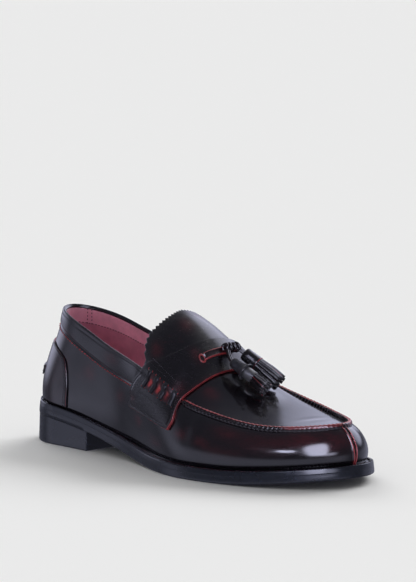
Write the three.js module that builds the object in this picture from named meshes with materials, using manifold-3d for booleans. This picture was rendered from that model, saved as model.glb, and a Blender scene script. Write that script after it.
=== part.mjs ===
// Tassel loafer, right shoe, millimetres, +X to the toe, +Y to the medial side, +Z up.
// The origin is the centre of the heel's face on the floor.

import * as THREE from 'three';
import Module from 'manifold-3d';

const wasm = await Module();
wasm.setup();

// Driving sizes

const SHOE_LENGTH = 300;        // outsole, heel to toe
const BALL_WIDTH = 108;         // outsole across the ball
const HEEL_RISE = 21;           // floor to the outsole's underside at the back
const HEEL_LENGTH = 73.5;       // outsole's heel end to the heel breast
const HEEL_FLARE = 0.5;         // how far the heel stands out at the floor
const HEEL_SETBACK = 0.2;       // heel stack inside the outsole's edge
const TOP_LIFT = 6;             // rubber piece on the floor
const TOE_SPRING = 6.6;         // floor to the outsole's tip
const OUTSOLE_THICKNESS = 4.8;
const OUTSOLE_ROUNDING = 0.8;
const WELT_THICKNESS = 3;
const WELT_BEVEL = 0.6;
const WELT_REACH = 11;          // how far the welt goes in under the upper
const WELT_STEP = 0.5;          // the welt's edge inside the outsole's edge
const GAP = 0.3;                // clearance between pieces that meet
const FLANGE = 5.4;             // welt that shows round the forepart
const FLANGE_HEEL = 3.4;        // the same at the heel
const BACK_HEIGHT = 64.2;       // welt to topline at the back
const TOPLINE_LEAN = 16;        // topline's back end ahead of the outsole's
const APRON_SETBACK = 14;       // apron's tip behind the outsole's
const CROWN_HEIGHT = 34;        // highest arch of the instep above the apron seam
const UPPER_WALL = 2.2;         // leather and lining
const COLLAR_STEP = 0.8;        // the collar band stands out by this
const INSOLE_THICKNESS = 3;
const INSOLE_EASE = 0.4;        // insole's edge clear of the upper's wall
const SEAM_HEIGHT = 2.6;        // raised apron seam
const SEAM_WIDTH = 3.8;
const SEAM_ROOT = 1.4;          // part of the seam inside the wall
const SPLIT_HEIGHT = 1.4;       // two ridges of the toe's split seam
const SPLIT_WIDTH = 2.2;
const SPLIT_PITCH = 4;
const SPLIT_ROOT = 1;           // part of a ridge inside the wall
const STRAP_THICKNESS = 1.8;
const STRAP_EASE = 0.2;         // slack over the instep
const TONGUE_THICKNESS = 2;
const TOOTH_DEPTH = 1.7;        // pinked edge of the tongue
const TEETH = 30;
const COUNTER_THICKNESS = 1.2;
const COUNTER_EASE = 0.1;       // slack round the heel
const TAB_THICKNESS = 1;
const LACE_THICKNESS = 1.3;
const LACE_WIDTH = 4.6;         // bars of the side lace
const RAIL_WIDTH = 1.6;
const RAIL_THICKNESS = 0.7;
const THONG_WIDTH = 4;
const THONG_THICKNESS = 1.6;
const KNOT_RADIUS = 3.8;
const KNOT_LENGTH = 13;
const NECK_RADIUS = 1.7;
const TASSEL_CAP_LENGTH = 12;
const TASSEL_CAP_RADIUS = 5.2;
const FRINGE_LENGTH = 21;
const FRINGE_RADIUS = 6.6;
const FRINGE_STRIPS = 12;
const STRIP_THICKNESS = 2.4;
const STRIP_ROOT = 2;           // length of a strip inside the cap
const STRIP_CUTS = [0, 0.1, 0.05];  // strips are cut this share short, in turn
const TASSEL_CLEAR = 1;         // tassels ride this far above what is under them
const FLATTENED = 0.85;         // height of a knot's or tassel's section to its width

// Mesh density

const COLUMNS = 68;             // round the shoe
const HEEL_COLUMNS = 32;        // round the heel counter
const SEAM_STEPS = 32;          // along the apron seam
const APRON_ROWS = 10;          // across the apron
const BREAST_STEPS = 14;        // along each side of the heel
const SPLIT_STEPS = 8;          // down a ridge of the split seam
const BAR_STEPS = 5;            // down a bar of the side lace
const RAIL_STEPS = 8;           // along a rail of the side lace
const THONG_STEPS = 6;
const CAP_SIDES = 12;
const CORE_SIDES = 10;
const KNOT_SIDES = 10;
const NECK_SIDES = 8;
const WELD = 0.0005;            // points closer than this are one
const OUTER_LEVELS = [0, 0.07, 0.16, 0.28, 0.42, 0.56, 0.66];  // up the wall to the collar band
const BAND_LEVELS = [0.9, 1];   // above the collar band's step
const INNER_LEVELS = [1, 0.87, 0.7, 0.48, 0.24, 0];
const STRAP_ROWS = [0, 0.2, 0.38, 0.54, 0.68, 0.8, 0.89, 0.95, 1, 1.06, 1.13, 1.21, 1.3, 1.38, 1.46, 1.54];

// Small steps that measure slopes: along and up the wall, along and across the form
const SLOPE = { outline: 0.002, phi: 0.004, w: 0.01, at: 0.003, u: 0.04 };

// Sections from the heel (0) to the toe (1). centre, half, edge_c and edge_half are shares of the ball
// width; wall is a share of the back height, crown of the crown height, bottom of the heel rise or toe
// spring. tilt, bulge, shoulder and drop are shares of the back height too.
const SECTIONS = [
  { at: 0.00, centre: 0.000, half: 0.320, edge_c: 0.010, edge_half: 0.200, wall: 1.015,
    tilt: 0.000, crown: 0.88, bulge: 0.036, shoulder: 0.078, drop: 0.390, bottom: 1.00, band: 0.84 },
  { at: 0.12, centre: 0.007, half: 0.317, edge_c: 0.005, edge_half: 0.205, wall: 0.945,
    tilt: 0.000, crown: 0.88, bulge: 0.044, shoulder: 0.065, drop: 0.390, bottom: 0.86, band: 0.78 },
  { at: 0.25, centre: -0.003, half: 0.320, edge_c: 0.002, edge_half: 0.240, wall: 0.852,
    tilt: 0.000, crown: 0.88, bulge: 0.062, shoulder: 0.056, drop: 0.343, bottom: 0.62, band: 0.735 },
  { at: 0.38, centre: -0.043, half: 0.320, edge_c: -0.025, edge_half: 0.290, wall: 0.852,
    tilt: 0.000, crown: 1.00, bulge: 0.072, shoulder: 0.065, drop: 0.288, bottom: 0.29, band: 0.71 },
  { at: 0.50, centre: -0.065, half: 0.388, edge_c: -0.038, edge_half: 0.355, wall: 0.822,
    tilt: 0.008, crown: 0.93, bulge: 0.086, shoulder: 0.094, drop: 0.195, bottom: 0.05, band: 0.70 },
  { at: 0.62, centre: -0.047, half: 0.493, edge_c: -0.023, edge_half: 0.392, wall: 0.638,
    tilt: 0.019, crown: 0.48, bulge: 0.084, shoulder: 0.136, drop: 0.097, bottom: 0.00, band: 0.70 },
  { at: 0.74, centre: -0.008, half: 0.508, edge_c: 0.004, edge_half: 0.380, wall: 0.515,
    tilt: 0.019, crown: 0.18, bulge: 0.081, shoulder: 0.156, drop: 0.062, bottom: 0.00, band: 0.70 },
  { at: 0.87, centre: 0.026, half: 0.458, edge_c: 0.028, edge_half: 0.335, wall: 0.400,
    tilt: 0.012, crown: 0.09, bulge: 0.072, shoulder: 0.134, drop: 0.047, bottom: 0.39, band: 0.70 },
  { at: 1.00, centre: 0.048, half: 0.420, edge_c: 0.037, edge_half: 0.262, wall: 0.362,
    tilt: 0.000, crown: 0.03, bulge: 0.078, shoulder: 0.109, drop: 0.044, bottom: 1.00, band: 0.70 },
];

// Round ends of an outline, as shares of the length, and how full they are
const SOLE_ENDS = { heel: 0.12, heelPower: 2, toe: 0.22, toePower: 2.05 };
const EDGE_ENDS = { heel: 0.155, heelPower: 2, toe: 0.24, toePower: 2.25 };

// Where the sole's back and front parts meet, and where the flange widens from the heel's to the toe's
const BALL_AT = 0.68;
const FLANGE_WIDENS = { from: 0.25, over: 0.35 };

// The outsole's edge from below: inset, then height, as shares of the thickness and of the rounding
const OUTSOLE_EDGE = [
  { inset: 1, up: 0, rise: 0 },
  { inset: 0.25, up: 0, rise: 0.4 },
  { inset: 0, up: 0.5, rise: 0 },
  { inset: 0.2, up: 1, rise: -0.3 },
  { inset: 1, up: 1, rise: 0 },
];

// The wall's fullest height, a share of the wall, and how much fuller the instep's arch gets behind
const BULGE_AT = 0.36;
const ARCH = { fuller: 0.25, from: 0.85, over: 0.4 };

// Sections of the raised seams: where the side starts to round, the flat crest, and how far the seam
// lies in from the edge, as shares of the height and of the half width
const SEAM_SHAPE = { side: 0.55, crest: 0.6, inward: 0.5 };
const SPLIT_SHAPE = { side: 0.6, crest: 0.4, foot: 0.04 };

// Where the upper's pieces start and end, as shares of the length
const STEP_HALF = 0.016;        // half the collar step's slope, a share of the wall
const BAND_END = 0.43;          // the collar band's step fades out from here, under the strap
const BAND_FADE = 0.05;
const THROAT = 0.52;
const TONGUE_FRONT = 0.57;
const TONGUE_FOLDS = [THROAT - 0.015, THROAT + 0.02];  // the tongue's rows between its ends
const SEAM_START = 0.63;
const APRON_TIP = 0.995;        // the apron's slope is measured no further than this

// Where the strap comes down beside the tongue, ahead of it, and below the collar band
const LIFT = {
  side: 0.985, sideSlope: 0.1, front: TONGUE_FRONT + 0.003, frontSlope: 0.04, bandSlope: 0.1, bandEarly: 1.2,
};

// The saddle strap: u runs across the shoe, see form(); rear and front are shares of the length
const STRAP = [
  { u: 0.00, rear: 0.552, front: 0.626 },
  { u: 0.35, rear: 0.549, front: 0.626 },
  { u: 0.62, rear: 0.541, front: 0.626 },
  { u: 0.82, rear: 0.523, front: 0.624 },
  { u: 1.00, rear: 0.468, front: 0.617 },
  { u: 1.18, rear: 0.438, front: 0.620 },
  { u: 1.34, rear: 0.424, front: 0.624 },
  { u: 1.46, rear: 0.419, front: 0.619 },
  { u: 1.54, rear: 0.425, front: 0.608 },
];

// The tongue's free edge
const TONGUE = [
  { u: 0.00, rear: 0.448 },
  { u: 0.30, rear: 0.451 },
  { u: 0.60, rear: 0.443 },
  { u: 0.85, rear: 0.444 },
  { u: 0.97, rear: 0.468 },
];

// The heel counter: share up the wall, and its front edge there as a share of the length
const COUNTER = [
  { up: 0.035, front: 0.152 },
  { up: 0.200, front: 0.153 },
  { up: 0.350, front: 0.146 },
  { up: 0.465, front: 0.134 },
  { up: 0.550, front: 0.119 },
  { up: 0.610, front: 0.094 },
  { up: 0.640, front: 0.062 },
  { up: 0.660, front: 0.034 },
];

// The small tab across the back seam: reach each way round the back, shares up the wall
const TAB = { reach: 0.032, low: 0.27, high: 0.38 };

// The side lace's rows of slits: u across the shoe, first and last bar as shares of the length
const SLITS = [
  { u: 0.965, rear: 0.508, front: 0.596 },
  { u: 1.200, rear: 0.488, front: 0.600 },
];
const LACE_BARS = 4;

// Places on the upper's form, see form(): the thong's strip, its knot, and each tassel's axis
const THONG = { at: 0.584, from: -0.36, to: 0.1 };
const KNOT = { at: 0.584, u: 0.16 };
const TASSELS = {
  lateral: { from: { at: 0.62, u: -0.04 }, to: { at: 0.732, u: 0.08 } },
  medial: { from: { at: 0.602, u: 0.3 }, to: { at: 0.7, u: 0.52 } },
};

// Turned shapes: along the axis and the radius there, as shares. The cap's are of its length and radius,
// the knot's of half its length and its radius.
const CAP_SHAPE = [[0, 0.5], [0.18, 0.84], [0.5, 0.92], [0.75, 1], [1, 1.08]];
const KNOT_SHAPE = [[-1, 0.45], [-0.7, 0.85], [0, 1], [0.7, 0.85], [1, 0.45]];

// The core inside the fringe: where it starts in the cap and ends in the fringe, and its radii there as
// shares of the cap's and the fringe's
const CORE = { from: 0.7, fromRadius: 0.7, to: 0.8, toRadius: 0.72 };

// A strip of the fringe: its width as a share of its turn round the fringe, its root as a share of the
// cap's radius, and how soon it reaches the fringe's radius
const STRIP = { width: 0.62, root: 0.8, spread: 1.4 };

// Small maths

const clamp = (v, lo, hi) => Math.min(hi, Math.max(lo, v));
const smooth = (v) => {
  const k = clamp(v, 0, 1);
  return k * k * (3 - 2 * k);
};
const vec = (x, y, z) => new THREE.Vector3(x, y, z);
const along = (p, n, d) => p.clone().addScaledVector(n, d);

// Natural cubic spline through a column of a table
function spline(rows, key, name) {
  const x = rows.map((row) => row[key]);
  const y = rows.map((row) => row[name]);
  const last = x.length - 1;
  const bend = new Array(x.length).fill(0);
  const work = new Array(x.length).fill(0);
  for (let i = 1; i < last; i += 1) {
    const ratio = (x[i] - x[i - 1]) / (x[i + 1] - x[i - 1]);
    const p = ratio * bend[i - 1] + 2;
    const jump = (y[i + 1] - y[i]) / (x[i + 1] - x[i]) - (y[i] - y[i - 1]) / (x[i] - x[i - 1]);
    bend[i] = (ratio - 1) / p;
    work[i] = ((6 * jump) / (x[i + 1] - x[i - 1]) - ratio * work[i - 1]) / p;
  }
  for (let i = last - 1; i >= 0; i -= 1) bend[i] = bend[i] * bend[i + 1] + work[i];
  return (at) => {
    const v = clamp(at, x[0], x[last]);
    let i = 0;
    while (i < last - 1 && v > x[i + 1]) i += 1;
    const h = x[i + 1] - x[i];
    const a = (x[i + 1] - v) / h;
    const b = 1 - a;
    return a * y[i] + b * y[i + 1] + (((a ** 3 - a) * bend[i] + (b ** 3 - b) * bend[i + 1]) * h * h) / 6;
  };
}

// Straight lines through a column of a table
function broken(rows, key, name) {
  return (at) => {
    const last = rows.length - 1;
    const v = clamp(at, rows[0][key], rows[last][key]);
    let i = 0;
    while (i < last - 1 && v > rows[i + 1][key]) i += 1;
    const k = (v - rows[i][key]) / (rows[i + 1][key] - rows[i][key]);
    return rows[i][name] * (1 - k) + rows[i + 1][name] * k;
  };
}

const column = {};
for (const name of Object.keys(SECTIONS[0])) column[name] = spline(SECTIONS, 'at', name);

// The last's shape. phi goes round: 0 at the heel, PI/2 lateral, PI at the toe, then medial.

const shareOf = (phi) => (1 - Math.cos(phi)) / 2;
const phiOf = (at) => Math.acos(1 - 2 * clamp(at, 0, 1));
const sideOf = (phi) => (Math.sin(phi) >= 0 ? -1 : 1);

// Half width factor, 1 in the middle and 0 at the round ends
function ends(at, shape) {
  const heel = clamp((shape.heel - at) / shape.heel, 0, 1) ** shape.heelPower;
  const toe = clamp((at - 1 + shape.toe) / shape.toe, 0, 1) ** shape.toePower;
  return Math.sqrt((1 - heel) * (1 - toe));
}

// Height of the outsole's underside: heel rise behind, flat at the ball, toe spring in front
function bottomAt(at) {
  const rise = at < BALL_AT ? HEEL_RISE : TOE_SPRING;
  return Math.max(0, column.bottom(at)) * rise;
}

const weltTop = (at) => bottomAt(at) + OUTSOLE_THICKNESS + GAP + WELT_THICKNESS;

// The sole's outline, drawn in by inset
function outline(phi, inset) {
  const at = shareOf(phi);
  const x = inset + (SHOE_LENGTH - 2 * inset) * at;
  const w = (column.half(at) * BALL_WIDTH - inset) * ends(at, SOLE_ENDS);
  return { x, y: column.centre(at) * BALL_WIDTH + sideOf(phi) * w, at: x / SHOE_LENGTH };
}

function flange(at) {
  return FLANGE_HEEL + (FLANGE - FLANGE_HEEL) * smooth((at - FLANGE_WIDENS.from) / FLANGE_WIDENS.over);
}

// The line where the upper meets the welt, moved in by inset
function feather(phi, inset = 0) {
  const o = outline(phi, flange(shareOf(phi)) + inset);
  return vec(o.x, o.y, weltTop(o.at) + GAP);
}

// The topline behind the throat, the apron seam in front of it
function edge(phi) {
  const at = shareOf(phi);
  const x = TOPLINE_LEAN + (SHOE_LENGTH - TOPLINE_LEAN - APRON_SETBACK) * at;
  const side = sideOf(phi);
  const y = BALL_WIDTH * (column.edge_c(at) + side * column.edge_half(at) * ends(at, EDGE_ENDS));
  const z = weltTop(at) + GAP + BACK_HEIGHT * (column.wall(at) + side * column.tilt(at));
  return vec(x, y, z);
}

// Level direction away from the shoe's middle
function outward(phi) {
  const a = feather(phi - SLOPE.outline);
  const b = feather(phi + SLOPE.outline);
  return vec(b.y - a.y, a.x - b.x, 0).normalize();
}

// The side of the upper: w is 0 at the welt and 1 at the topline or the apron seam
function wall(phi, w) {
  const at = shareOf(phi);
  const foot = feather(phi);
  const top = edge(phi);
  const out = outward(phi);
  const low = along(foot, out, column.bulge(at) * BACK_HEIGHT);
  low.z += (top.z - foot.z) * BULGE_AT;
  const high = along(top, out, column.shoulder(at) * BACK_HEIGHT);
  high.z -= column.drop(at) * BACK_HEIGHT;
  const v = 1 - w;
  const p = foot.multiplyScalar(v ** 3).addScaledVector(low, 3 * v * v * w);
  return p.addScaledVector(high, 3 * v * w * w).addScaledVector(top, w ** 3);
}

// The top of the upper: s is -1 at the lateral seam and 1 at the medial seam
function apron(at, s) {
  const a = edge(phiOf(at));
  const b = edge(2 * Math.PI - phiOf(at));
  const power = 1 - ARCH.fuller * clamp((ARCH.from - at) / ARCH.over, 0, 1);
  const arch = clamp(1 - s * s, 0, 1) ** power;
  const p = a.lerp(b, (s + 1) / 2);
  p.z += CROWN_HEIGHT * column.crown(at) * arch * ends(at, EDGE_ENDS);
  return p;
}

// The whole upper across a section: |u| up to 1 is the apron, from 1 to 2 the wall down to the welt
function form(at, u) {
  if (Math.abs(u) <= 1) return apron(at, u);
  const phi = u < 0 ? phiOf(at) : 2 * Math.PI - phiOf(at);
  return wall(phi, 2 - Math.abs(u));
}

function normalOf(f, a, b, stepA, stepB) {
  const da = f(a + stepA, b).sub(f(a - stepA, b));
  const db = f(a, b + stepB).sub(f(a, b - stepB));
  return da.cross(db).normalize();
}

const wallNormal = (phi, w) => normalOf(wall, phi, clamp(w, 0.01, 0.99), SLOPE.phi, SLOPE.w);
const formNormal = (at, u) => normalOf(form, at, u, SLOPE.at, SLOPE.u);
const raised = (at, u, d) => along(form(at, u), formNormal(at, u), d);

// Closed meshes from grids of points

function solid(points, triangles) {
  const seen = new Map();
  const kept = [];
  const index = points.map((p) => {
    const key = [p.x, p.y, p.z].map((v) => Math.round(v / WELD)).join();
    if (!seen.has(key)) seen.set(key, kept.push(p) - 1);
    return seen.get(key);
  });
  let faces = triangles.map((t) => t.map((i) => index[i]));
  faces = faces.filter(([a, b, c]) => a !== b && b !== c && c !== a);
  let volume = 0;
  for (const [a, b, c] of faces) volume += kept[a].dot(kept[b].clone().cross(kept[c]));
  if (volume < 0) faces = faces.map(([a, b, c]) => [a, c, b]);
  const position = new Float32Array(kept.flatMap((p) => [p.x, p.y, p.z]));
  const geometry = new THREE.BufferGeometry();
  geometry.setAttribute('position', new THREE.BufferAttribute(position, 3));
  geometry.setIndex(faces.flat());
  return geometry;
}

const quad = (a, b, c, d) => [[a, b, c], [a, c, d]];

// Rings round the shoe, each joined to the next. A loop joins the last to the first, else both are capped.
function ringSolid(rings, loop) {
  const n = rings[0].length;
  const at = (ring, i) => (ring % rings.length) * n + (i % n);
  const faces = [];
  for (let ring = 0; ring < rings.length - (loop ? 0 : 1); ring += 1) {
    for (let i = 0; i < n; i += 1) {
      faces.push(...quad(at(ring, i), at(ring, i + 1), at(ring + 1, i + 1), at(ring + 1, i)));
    }
  }
  if (!loop) {
    for (let i = 0; i < n / 2; i += 1) {
      const cap = (ring) => quad(at(ring, i), at(ring, n - i), at(ring, n - i - 1), at(ring, i + 1));
      faces.push(...cap(0));
      faces.push(...cap(rings.length - 1).map(([a, b, c]) => [a, c, b]));
    }
  }
  return solid(rings.flat(), faces);
}

// Two like grids, rows of points, joined round their rim
function sheetSolid(outer, inner) {
  const rows = outer.length;
  const n = outer[0].length;
  const o = (r, i) => r * n + i;
  const q = (r, i) => rows * n + r * n + i;
  const faces = [];
  for (let r = 0; r < rows - 1; r += 1) {
    for (let i = 0; i < n - 1; i += 1) {
      faces.push(...quad(o(r, i), o(r, i + 1), o(r + 1, i + 1), o(r + 1, i)));
      faces.push(...quad(q(r, i), q(r + 1, i), q(r + 1, i + 1), q(r, i + 1)));
    }
  }
  for (let i = 0; i < n - 1; i += 1) {
    faces.push(...quad(o(0, i), q(0, i), q(0, i + 1), o(0, i + 1)));
    faces.push(...quad(o(rows - 1, i), o(rows - 1, i + 1), q(rows - 1, i + 1), q(rows - 1, i)));
  }
  for (let r = 0; r < rows - 1; r += 1) {
    faces.push(...quad(o(r, 0), o(r + 1, 0), q(r + 1, 0), q(r, 0)));
    faces.push(...quad(o(r, n - 1), q(r, n - 1), q(r + 1, n - 1), o(r + 1, n - 1)));
  }
  return solid([...outer.flat(), ...inner.flat()], faces);
}

// Sections of equal size along a path, with flat ends
function barSolid(sections) {
  const n = sections[0].length;
  const faces = [];
  for (let r = 0; r < sections.length - 1; r += 1) {
    for (let i = 0; i < n; i += 1) {
      const j = (i + 1) % n;
      faces.push(...quad(r * n + i, r * n + j, (r + 1) * n + j, (r + 1) * n + i));
    }
  }
  const end = (sections.length - 1) * n;
  for (let i = 1; i < n - 1; i += 1) {
    faces.push([0, i + 1, i]);
    faces.push([end, end + i, end + i + 1]);
  }
  return solid(sections.flat(), faces);
}

function manifoldOf(geometry) {
  const mesh = new wasm.Mesh({
    numProp: 3,
    vertProperties: geometry.getAttribute('position').array,
    triVerts: new Uint32Array(geometry.getIndex().array),
  });
  return new wasm.Manifold(mesh);
}

function geometryOf(body) {
  const mesh = body.getMesh();
  const geometry = new THREE.BufferGeometry();
  geometry.setAttribute('position', new THREE.BufferAttribute(new Float32Array(mesh.vertProperties), 3));
  geometry.setIndex(new THREE.BufferAttribute(new Uint32Array(mesh.triVerts), 1));
  return geometry;
}

const joined = (list) => geometryOf(list.map(manifoldOf).reduce((a, b) => a.add(b)));
const steps = (n, from = 0, to = 1) => Array.from({ length: n + 1 }, (_, i) => from + ((to - from) * i) / n);
const around = (f) => steps(COLUMNS - 1, 0, 2 * Math.PI * (1 - 1 / COLUMNS)).map(f);

// Sole and heel

// A ring of the sole's edge: inset from the outline, height above the underside
const soleRing = (inset, height) => around((phi) => {
  const o = outline(phi, inset);
  return vec(o.x, o.y, bottomAt(o.at) + height);
});

function outsole() {
  return ringSolid(OUTSOLE_EDGE.map(({ inset, up, rise }) => (
    soleRing(OUTSOLE_ROUNDING * inset, OUTSOLE_THICKNESS * up + OUTSOLE_ROUNDING * rise)
  )), false);
}

function welt() {
  const low = OUTSOLE_THICKNESS + GAP;
  const high = low + WELT_THICKNESS;
  const inner = (height) => around((phi) => {
    const o = outline(phi, flange(shareOf(phi)) + WELT_REACH);
    return vec(o.x, o.y, bottomAt(o.at) + height);
  });
  return ringSolid([
    soleRing(WELT_STEP, low),
    soleRing(WELT_STEP, high - WELT_BEVEL),
    soleRing(WELT_STEP + WELT_BEVEL, high),
    inner(high),
    inner(low),
  ], true);
}

// How far the heel stack lies inside the outsole's edge at a height above the floor
const heelDraw = (z) => HEEL_SETBACK - HEEL_FLARE * (1 - z / HEEL_RISE);

// One face of a heel piece, lateral and medial points from the back to the breast
function heelFace(draw, heightAt) {
  const breast = phiOf(HEEL_LENGTH / SHOE_LENGTH);
  return steps(BREAST_STEPS, 0, breast).map((phi) => {
    const x = draw + (HEEL_LENGTH - draw) * (shareOf(phi) / shareOf(breast));
    const z = heightAt(x / SHOE_LENGTH);
    return [vec(x, outline(phi, draw).y, z), vec(x, outline(-phi, draw).y, z)];
  });
}

const heelLevel = (z) => heelFace(heelDraw(z), () => z);
const topLift = () => sheetSolid(heelLevel(TOP_LIFT), heelLevel(0));

function heelBlock() {
  const top = heelFace(heelDraw(HEEL_RISE), (at) => bottomAt(at) - GAP);
  return sheetSolid(top, heelLevel(TOP_LIFT));
}

function insole() {
  const inset = UPPER_WALL + GAP + INSOLE_EASE;
  const ring = (height) => around((phi) => {
    const p = feather(phi, inset);
    return vec(p.x, p.y, p.z + height);
  });
  return ringSolid([ring(0), ring(INSOLE_THICKNESS)], false);
}

// Upper

const bandFade = (at) => 1 - smooth((at - BAND_END) / BAND_FADE);

// Outside of the wall, with the collar band's step
function skin(phi, w) {
  const at = shareOf(phi);
  const step = smooth((w - column.band(at)) / (2 * STEP_HALF) + 0.5);
  return along(wall(phi, w), wallNormal(phi, w), COLLAR_STEP * step * bandFade(at));
}

function upperShell() {
  const level = (w) => () => w;
  const outerRows = [
    ...OUTER_LEVELS.map(level),
    (phi) => column.band(shareOf(phi)) - STEP_HALF,
    (phi) => column.band(shareOf(phi)) + STEP_HALF,
    ...BAND_LEVELS.map(level),
  ];
  const points = [];
  const add = (p) => points.push(p) - 1;
  const outer = outerRows.map((w) => around((phi) => add(skin(phi, w(phi)))));
  const lining = (phi, w) => along(wall(phi, w), wallNormal(phi, w), -UPPER_WALL);
  const inner = INNER_LEVELS.map((w) => around((phi) => add(lining(phi, w))));
  const faces = [];
  const n = COLUMNS;
  const strip = (a, b, i) => faces.push(...quad(a[i], a[(i + 1) % n], b[(i + 1) % n], b[i]));
  for (let i = 0; i < n; i += 1) {
    for (let r = 0; r < outer.length - 1; r += 1) strip(outer[r], outer[r + 1], i);
    for (let r = 0; r < inner.length - 1; r += 1) strip(inner[r], inner[r + 1], i);
    strip(inner[inner.length - 1], outer[0], i);
  }
  // the apron starts at the column nearest the throat, and goes on to the toe
  const first = Math.round((phiOf(THROAT) / (2 * Math.PI)) * n);
  const top = outer[outer.length - 1];
  const under = inner[0];
  for (let i = -first; i < first; i += 1) strip(top, under, (i + n) % n);
  const across = (i, rim, d) => steps(APRON_ROWS, -1, 1).map((s, k) => {
    if (k === 0 || i === n / 2) return rim[i];
    if (k === APRON_ROWS) return rim[n - i];
    const at = shareOf((2 * Math.PI * i) / n);
    return add(along(apron(at, s), formNormal(Math.min(at, APRON_TIP), s), d));
  });
  let before = null;
  for (let i = first; i <= n / 2; i += 1) {
    const rows = [across(i, top, 0), across(i, under, -UPPER_WALL)];
    for (let k = 0; k < APRON_ROWS; k += 1) {
      if (i === first) faces.push(...quad(rows[0][k], rows[0][k + 1], rows[1][k + 1], rows[1][k]));
      if (before) {
        faces.push(...quad(before[0][k], rows[0][k], rows[0][k + 1], before[0][k + 1]));
        faces.push(...quad(before[1][k], before[1][k + 1], rows[1][k + 1], rows[1][k]));
      }
    }
    before = rows;
  }
  return solid(points, faces);
}

// The raised seam round the apron
function apronSeam() {
  const half = SEAM_WIDTH / 2;
  const { side, crest, inward } = SEAM_SHAPE;
  const profile = [
    [half, -SEAM_ROOT], [half, SEAM_HEIGHT * side], [half * crest, SEAM_HEIGHT],
    [-half * crest, SEAM_HEIGHT], [-half, SEAM_HEIGHT * side], [-half, -SEAM_ROOT],
  ];
  const start = phiOf(SEAM_START);
  const path = steps(SEAM_STEPS, start, 2 * Math.PI - start);
  return barSolid(path.map((phi) => {
    const p = edge(phi);
    const out = outward(phi);
    return profile.map(([d, h]) => {
      const reach = d - half * inward;
      return vec(p.x + out.x * reach, p.y + out.y * reach, p.z + h);
    });
  }));
}

// One ridge of the split seam down the toe
function splitRidge(offset) {
  const half = SPLIT_WIDTH / 2;
  const { side: high, crest, foot } = SPLIT_SHAPE;
  return barSolid(steps(SPLIT_STEPS, foot, 1).map((w) => {
    const p = wall(Math.PI, w);
    const out = wallNormal(Math.PI, w);
    const at = (d, side) => vec(p.x + out.x * d, p.y + offset + side * half, p.z + out.z * d);
    return [at(-SPLIT_ROOT, -1), at(SPLIT_HEIGHT * high, -1), at(SPLIT_HEIGHT, -crest),
      at(SPLIT_HEIGHT, crest), at(SPLIT_HEIGHT * high, 1), at(-SPLIT_ROOT, 1)];
  }));
}

function upper() {
  const ridges = [-1, 1].map((side) => splitRidge((side * SPLIT_PITCH) / 2));
  return joined([upperShell(), apronSeam(), ...ridges]);
}

// Pieces laid on the upper

// A patch of the upper's form between two heights above it, with each row's stations from the back
function patch(rowsU, stationsAt, low, high) {
  const grid = (height) => rowsU.map((u) => stationsAt(u).map((at) => raised(at, u, height(at, u))));
  return sheetSolid(grid(high), grid(low));
}

// The strap rises over the tongue and the collar band, and comes down to the apron ahead
function strapLift(at, u) {
  const across = 1 - smooth((Math.abs(u) - LIFT.side) / LIFT.sideSlope);
  const forward = 1 - smooth((at - LIFT.front) / LIFT.frontSlope);
  const up = 2 - Math.max(1, Math.abs(u));
  const overBand = smooth((up - column.band(at)) / LIFT.bandSlope + LIFT.bandEarly) * bandFade(at);
  return GAP + ((TONGUE_THICKNESS + GAP) * forward + STRAP_EASE) * across + COLLAR_STEP * overBand;
}

const strapTop = (at, u) => strapLift(at, u) + STRAP_THICKNESS + GAP;
const strapRear = broken(STRAP, 'u', 'rear');
const strapFront = broken(STRAP, 'u', 'front');

function strap() {
  const rows = [...STRAP_ROWS.slice(1).reverse().map((u) => -u), ...STRAP_ROWS];
  const stations = (u) => [
    ...steps(4, strapRear(Math.abs(u)), LIFT.front),
    ...steps(3, LIFT.front, strapFront(Math.abs(u))).slice(1),
  ];
  return patch(rows, stations, strapLift, (at, u) => strapLift(at, u) + STRAP_THICKNESS);
}

function tongue() {
  const rear = broken(TONGUE, 'u', 'rear');
  const half = TONGUE[TONGUE.length - 1].u;
  const rows = steps(2 * TEETH, -half, half);
  const stations = (u) => {
    const valley = Math.round(((u + half) / half) * TEETH) % 2;
    const edgeAt = rear(Math.abs(u)) + (valley * TOOTH_DEPTH) / SHOE_LENGTH;
    return [edgeAt, ...TONGUE_FOLDS, TONGUE_FRONT];
  };
  return patch(rows, stations, () => GAP, () => GAP + TONGUE_THICKNESS);
}

// Side lace: bars over the strap, joined by a rail along each row of slits
function sideLace(side) {
  const on = (extra) => (at, u) => strapTop(at, u) + extra;
  const rearAt = broken(SLITS, 'u', 'rear');
  const frontAt = broken(SLITS, 'u', 'front');
  const half = LACE_WIDTH / 2 / SHOE_LENGTH;
  const rail = RAIL_WIDTH / 2 / BACK_HEIGHT;
  const pieces = [];
  for (const k of steps(LACE_BARS - 1)) {
    const rows = steps(BAR_STEPS, SLITS[0].u, SLITS[1].u).map((u) => u * side);
    const middle = (u) => rearAt(Math.abs(u)) * (1 - k) + frontAt(Math.abs(u)) * k;
    const stations = (u) => [middle(u) - half, middle(u) + half];
    pieces.push(patch(rows, stations, on(0), on(LACE_THICKNESS)));
  }
  for (const row of SLITS) {
    const rows = steps(1, side * row.u - rail, side * row.u + rail);
    pieces.push(patch(rows, () => steps(RAIL_STEPS, row.rear, row.front), on(0), on(RAIL_THICKNESS)));
  }
  return joined(pieces);
}

// A row of points round the heel, raised from the wall
function heelRow(front, w, d) {
  const reach = phiOf(front);
  return steps(HEEL_COLUMNS, -reach, reach).map((phi) => along(wall(phi, w), wallNormal(phi, w), d));
}

function heelCounter() {
  const base = GAP + COUNTER_EASE;
  const grid = (d) => COUNTER.map(({ up, front }) => heelRow(front, up, d));
  return sheetSolid(grid(base + COUNTER_THICKNESS), grid(base));
}

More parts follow.
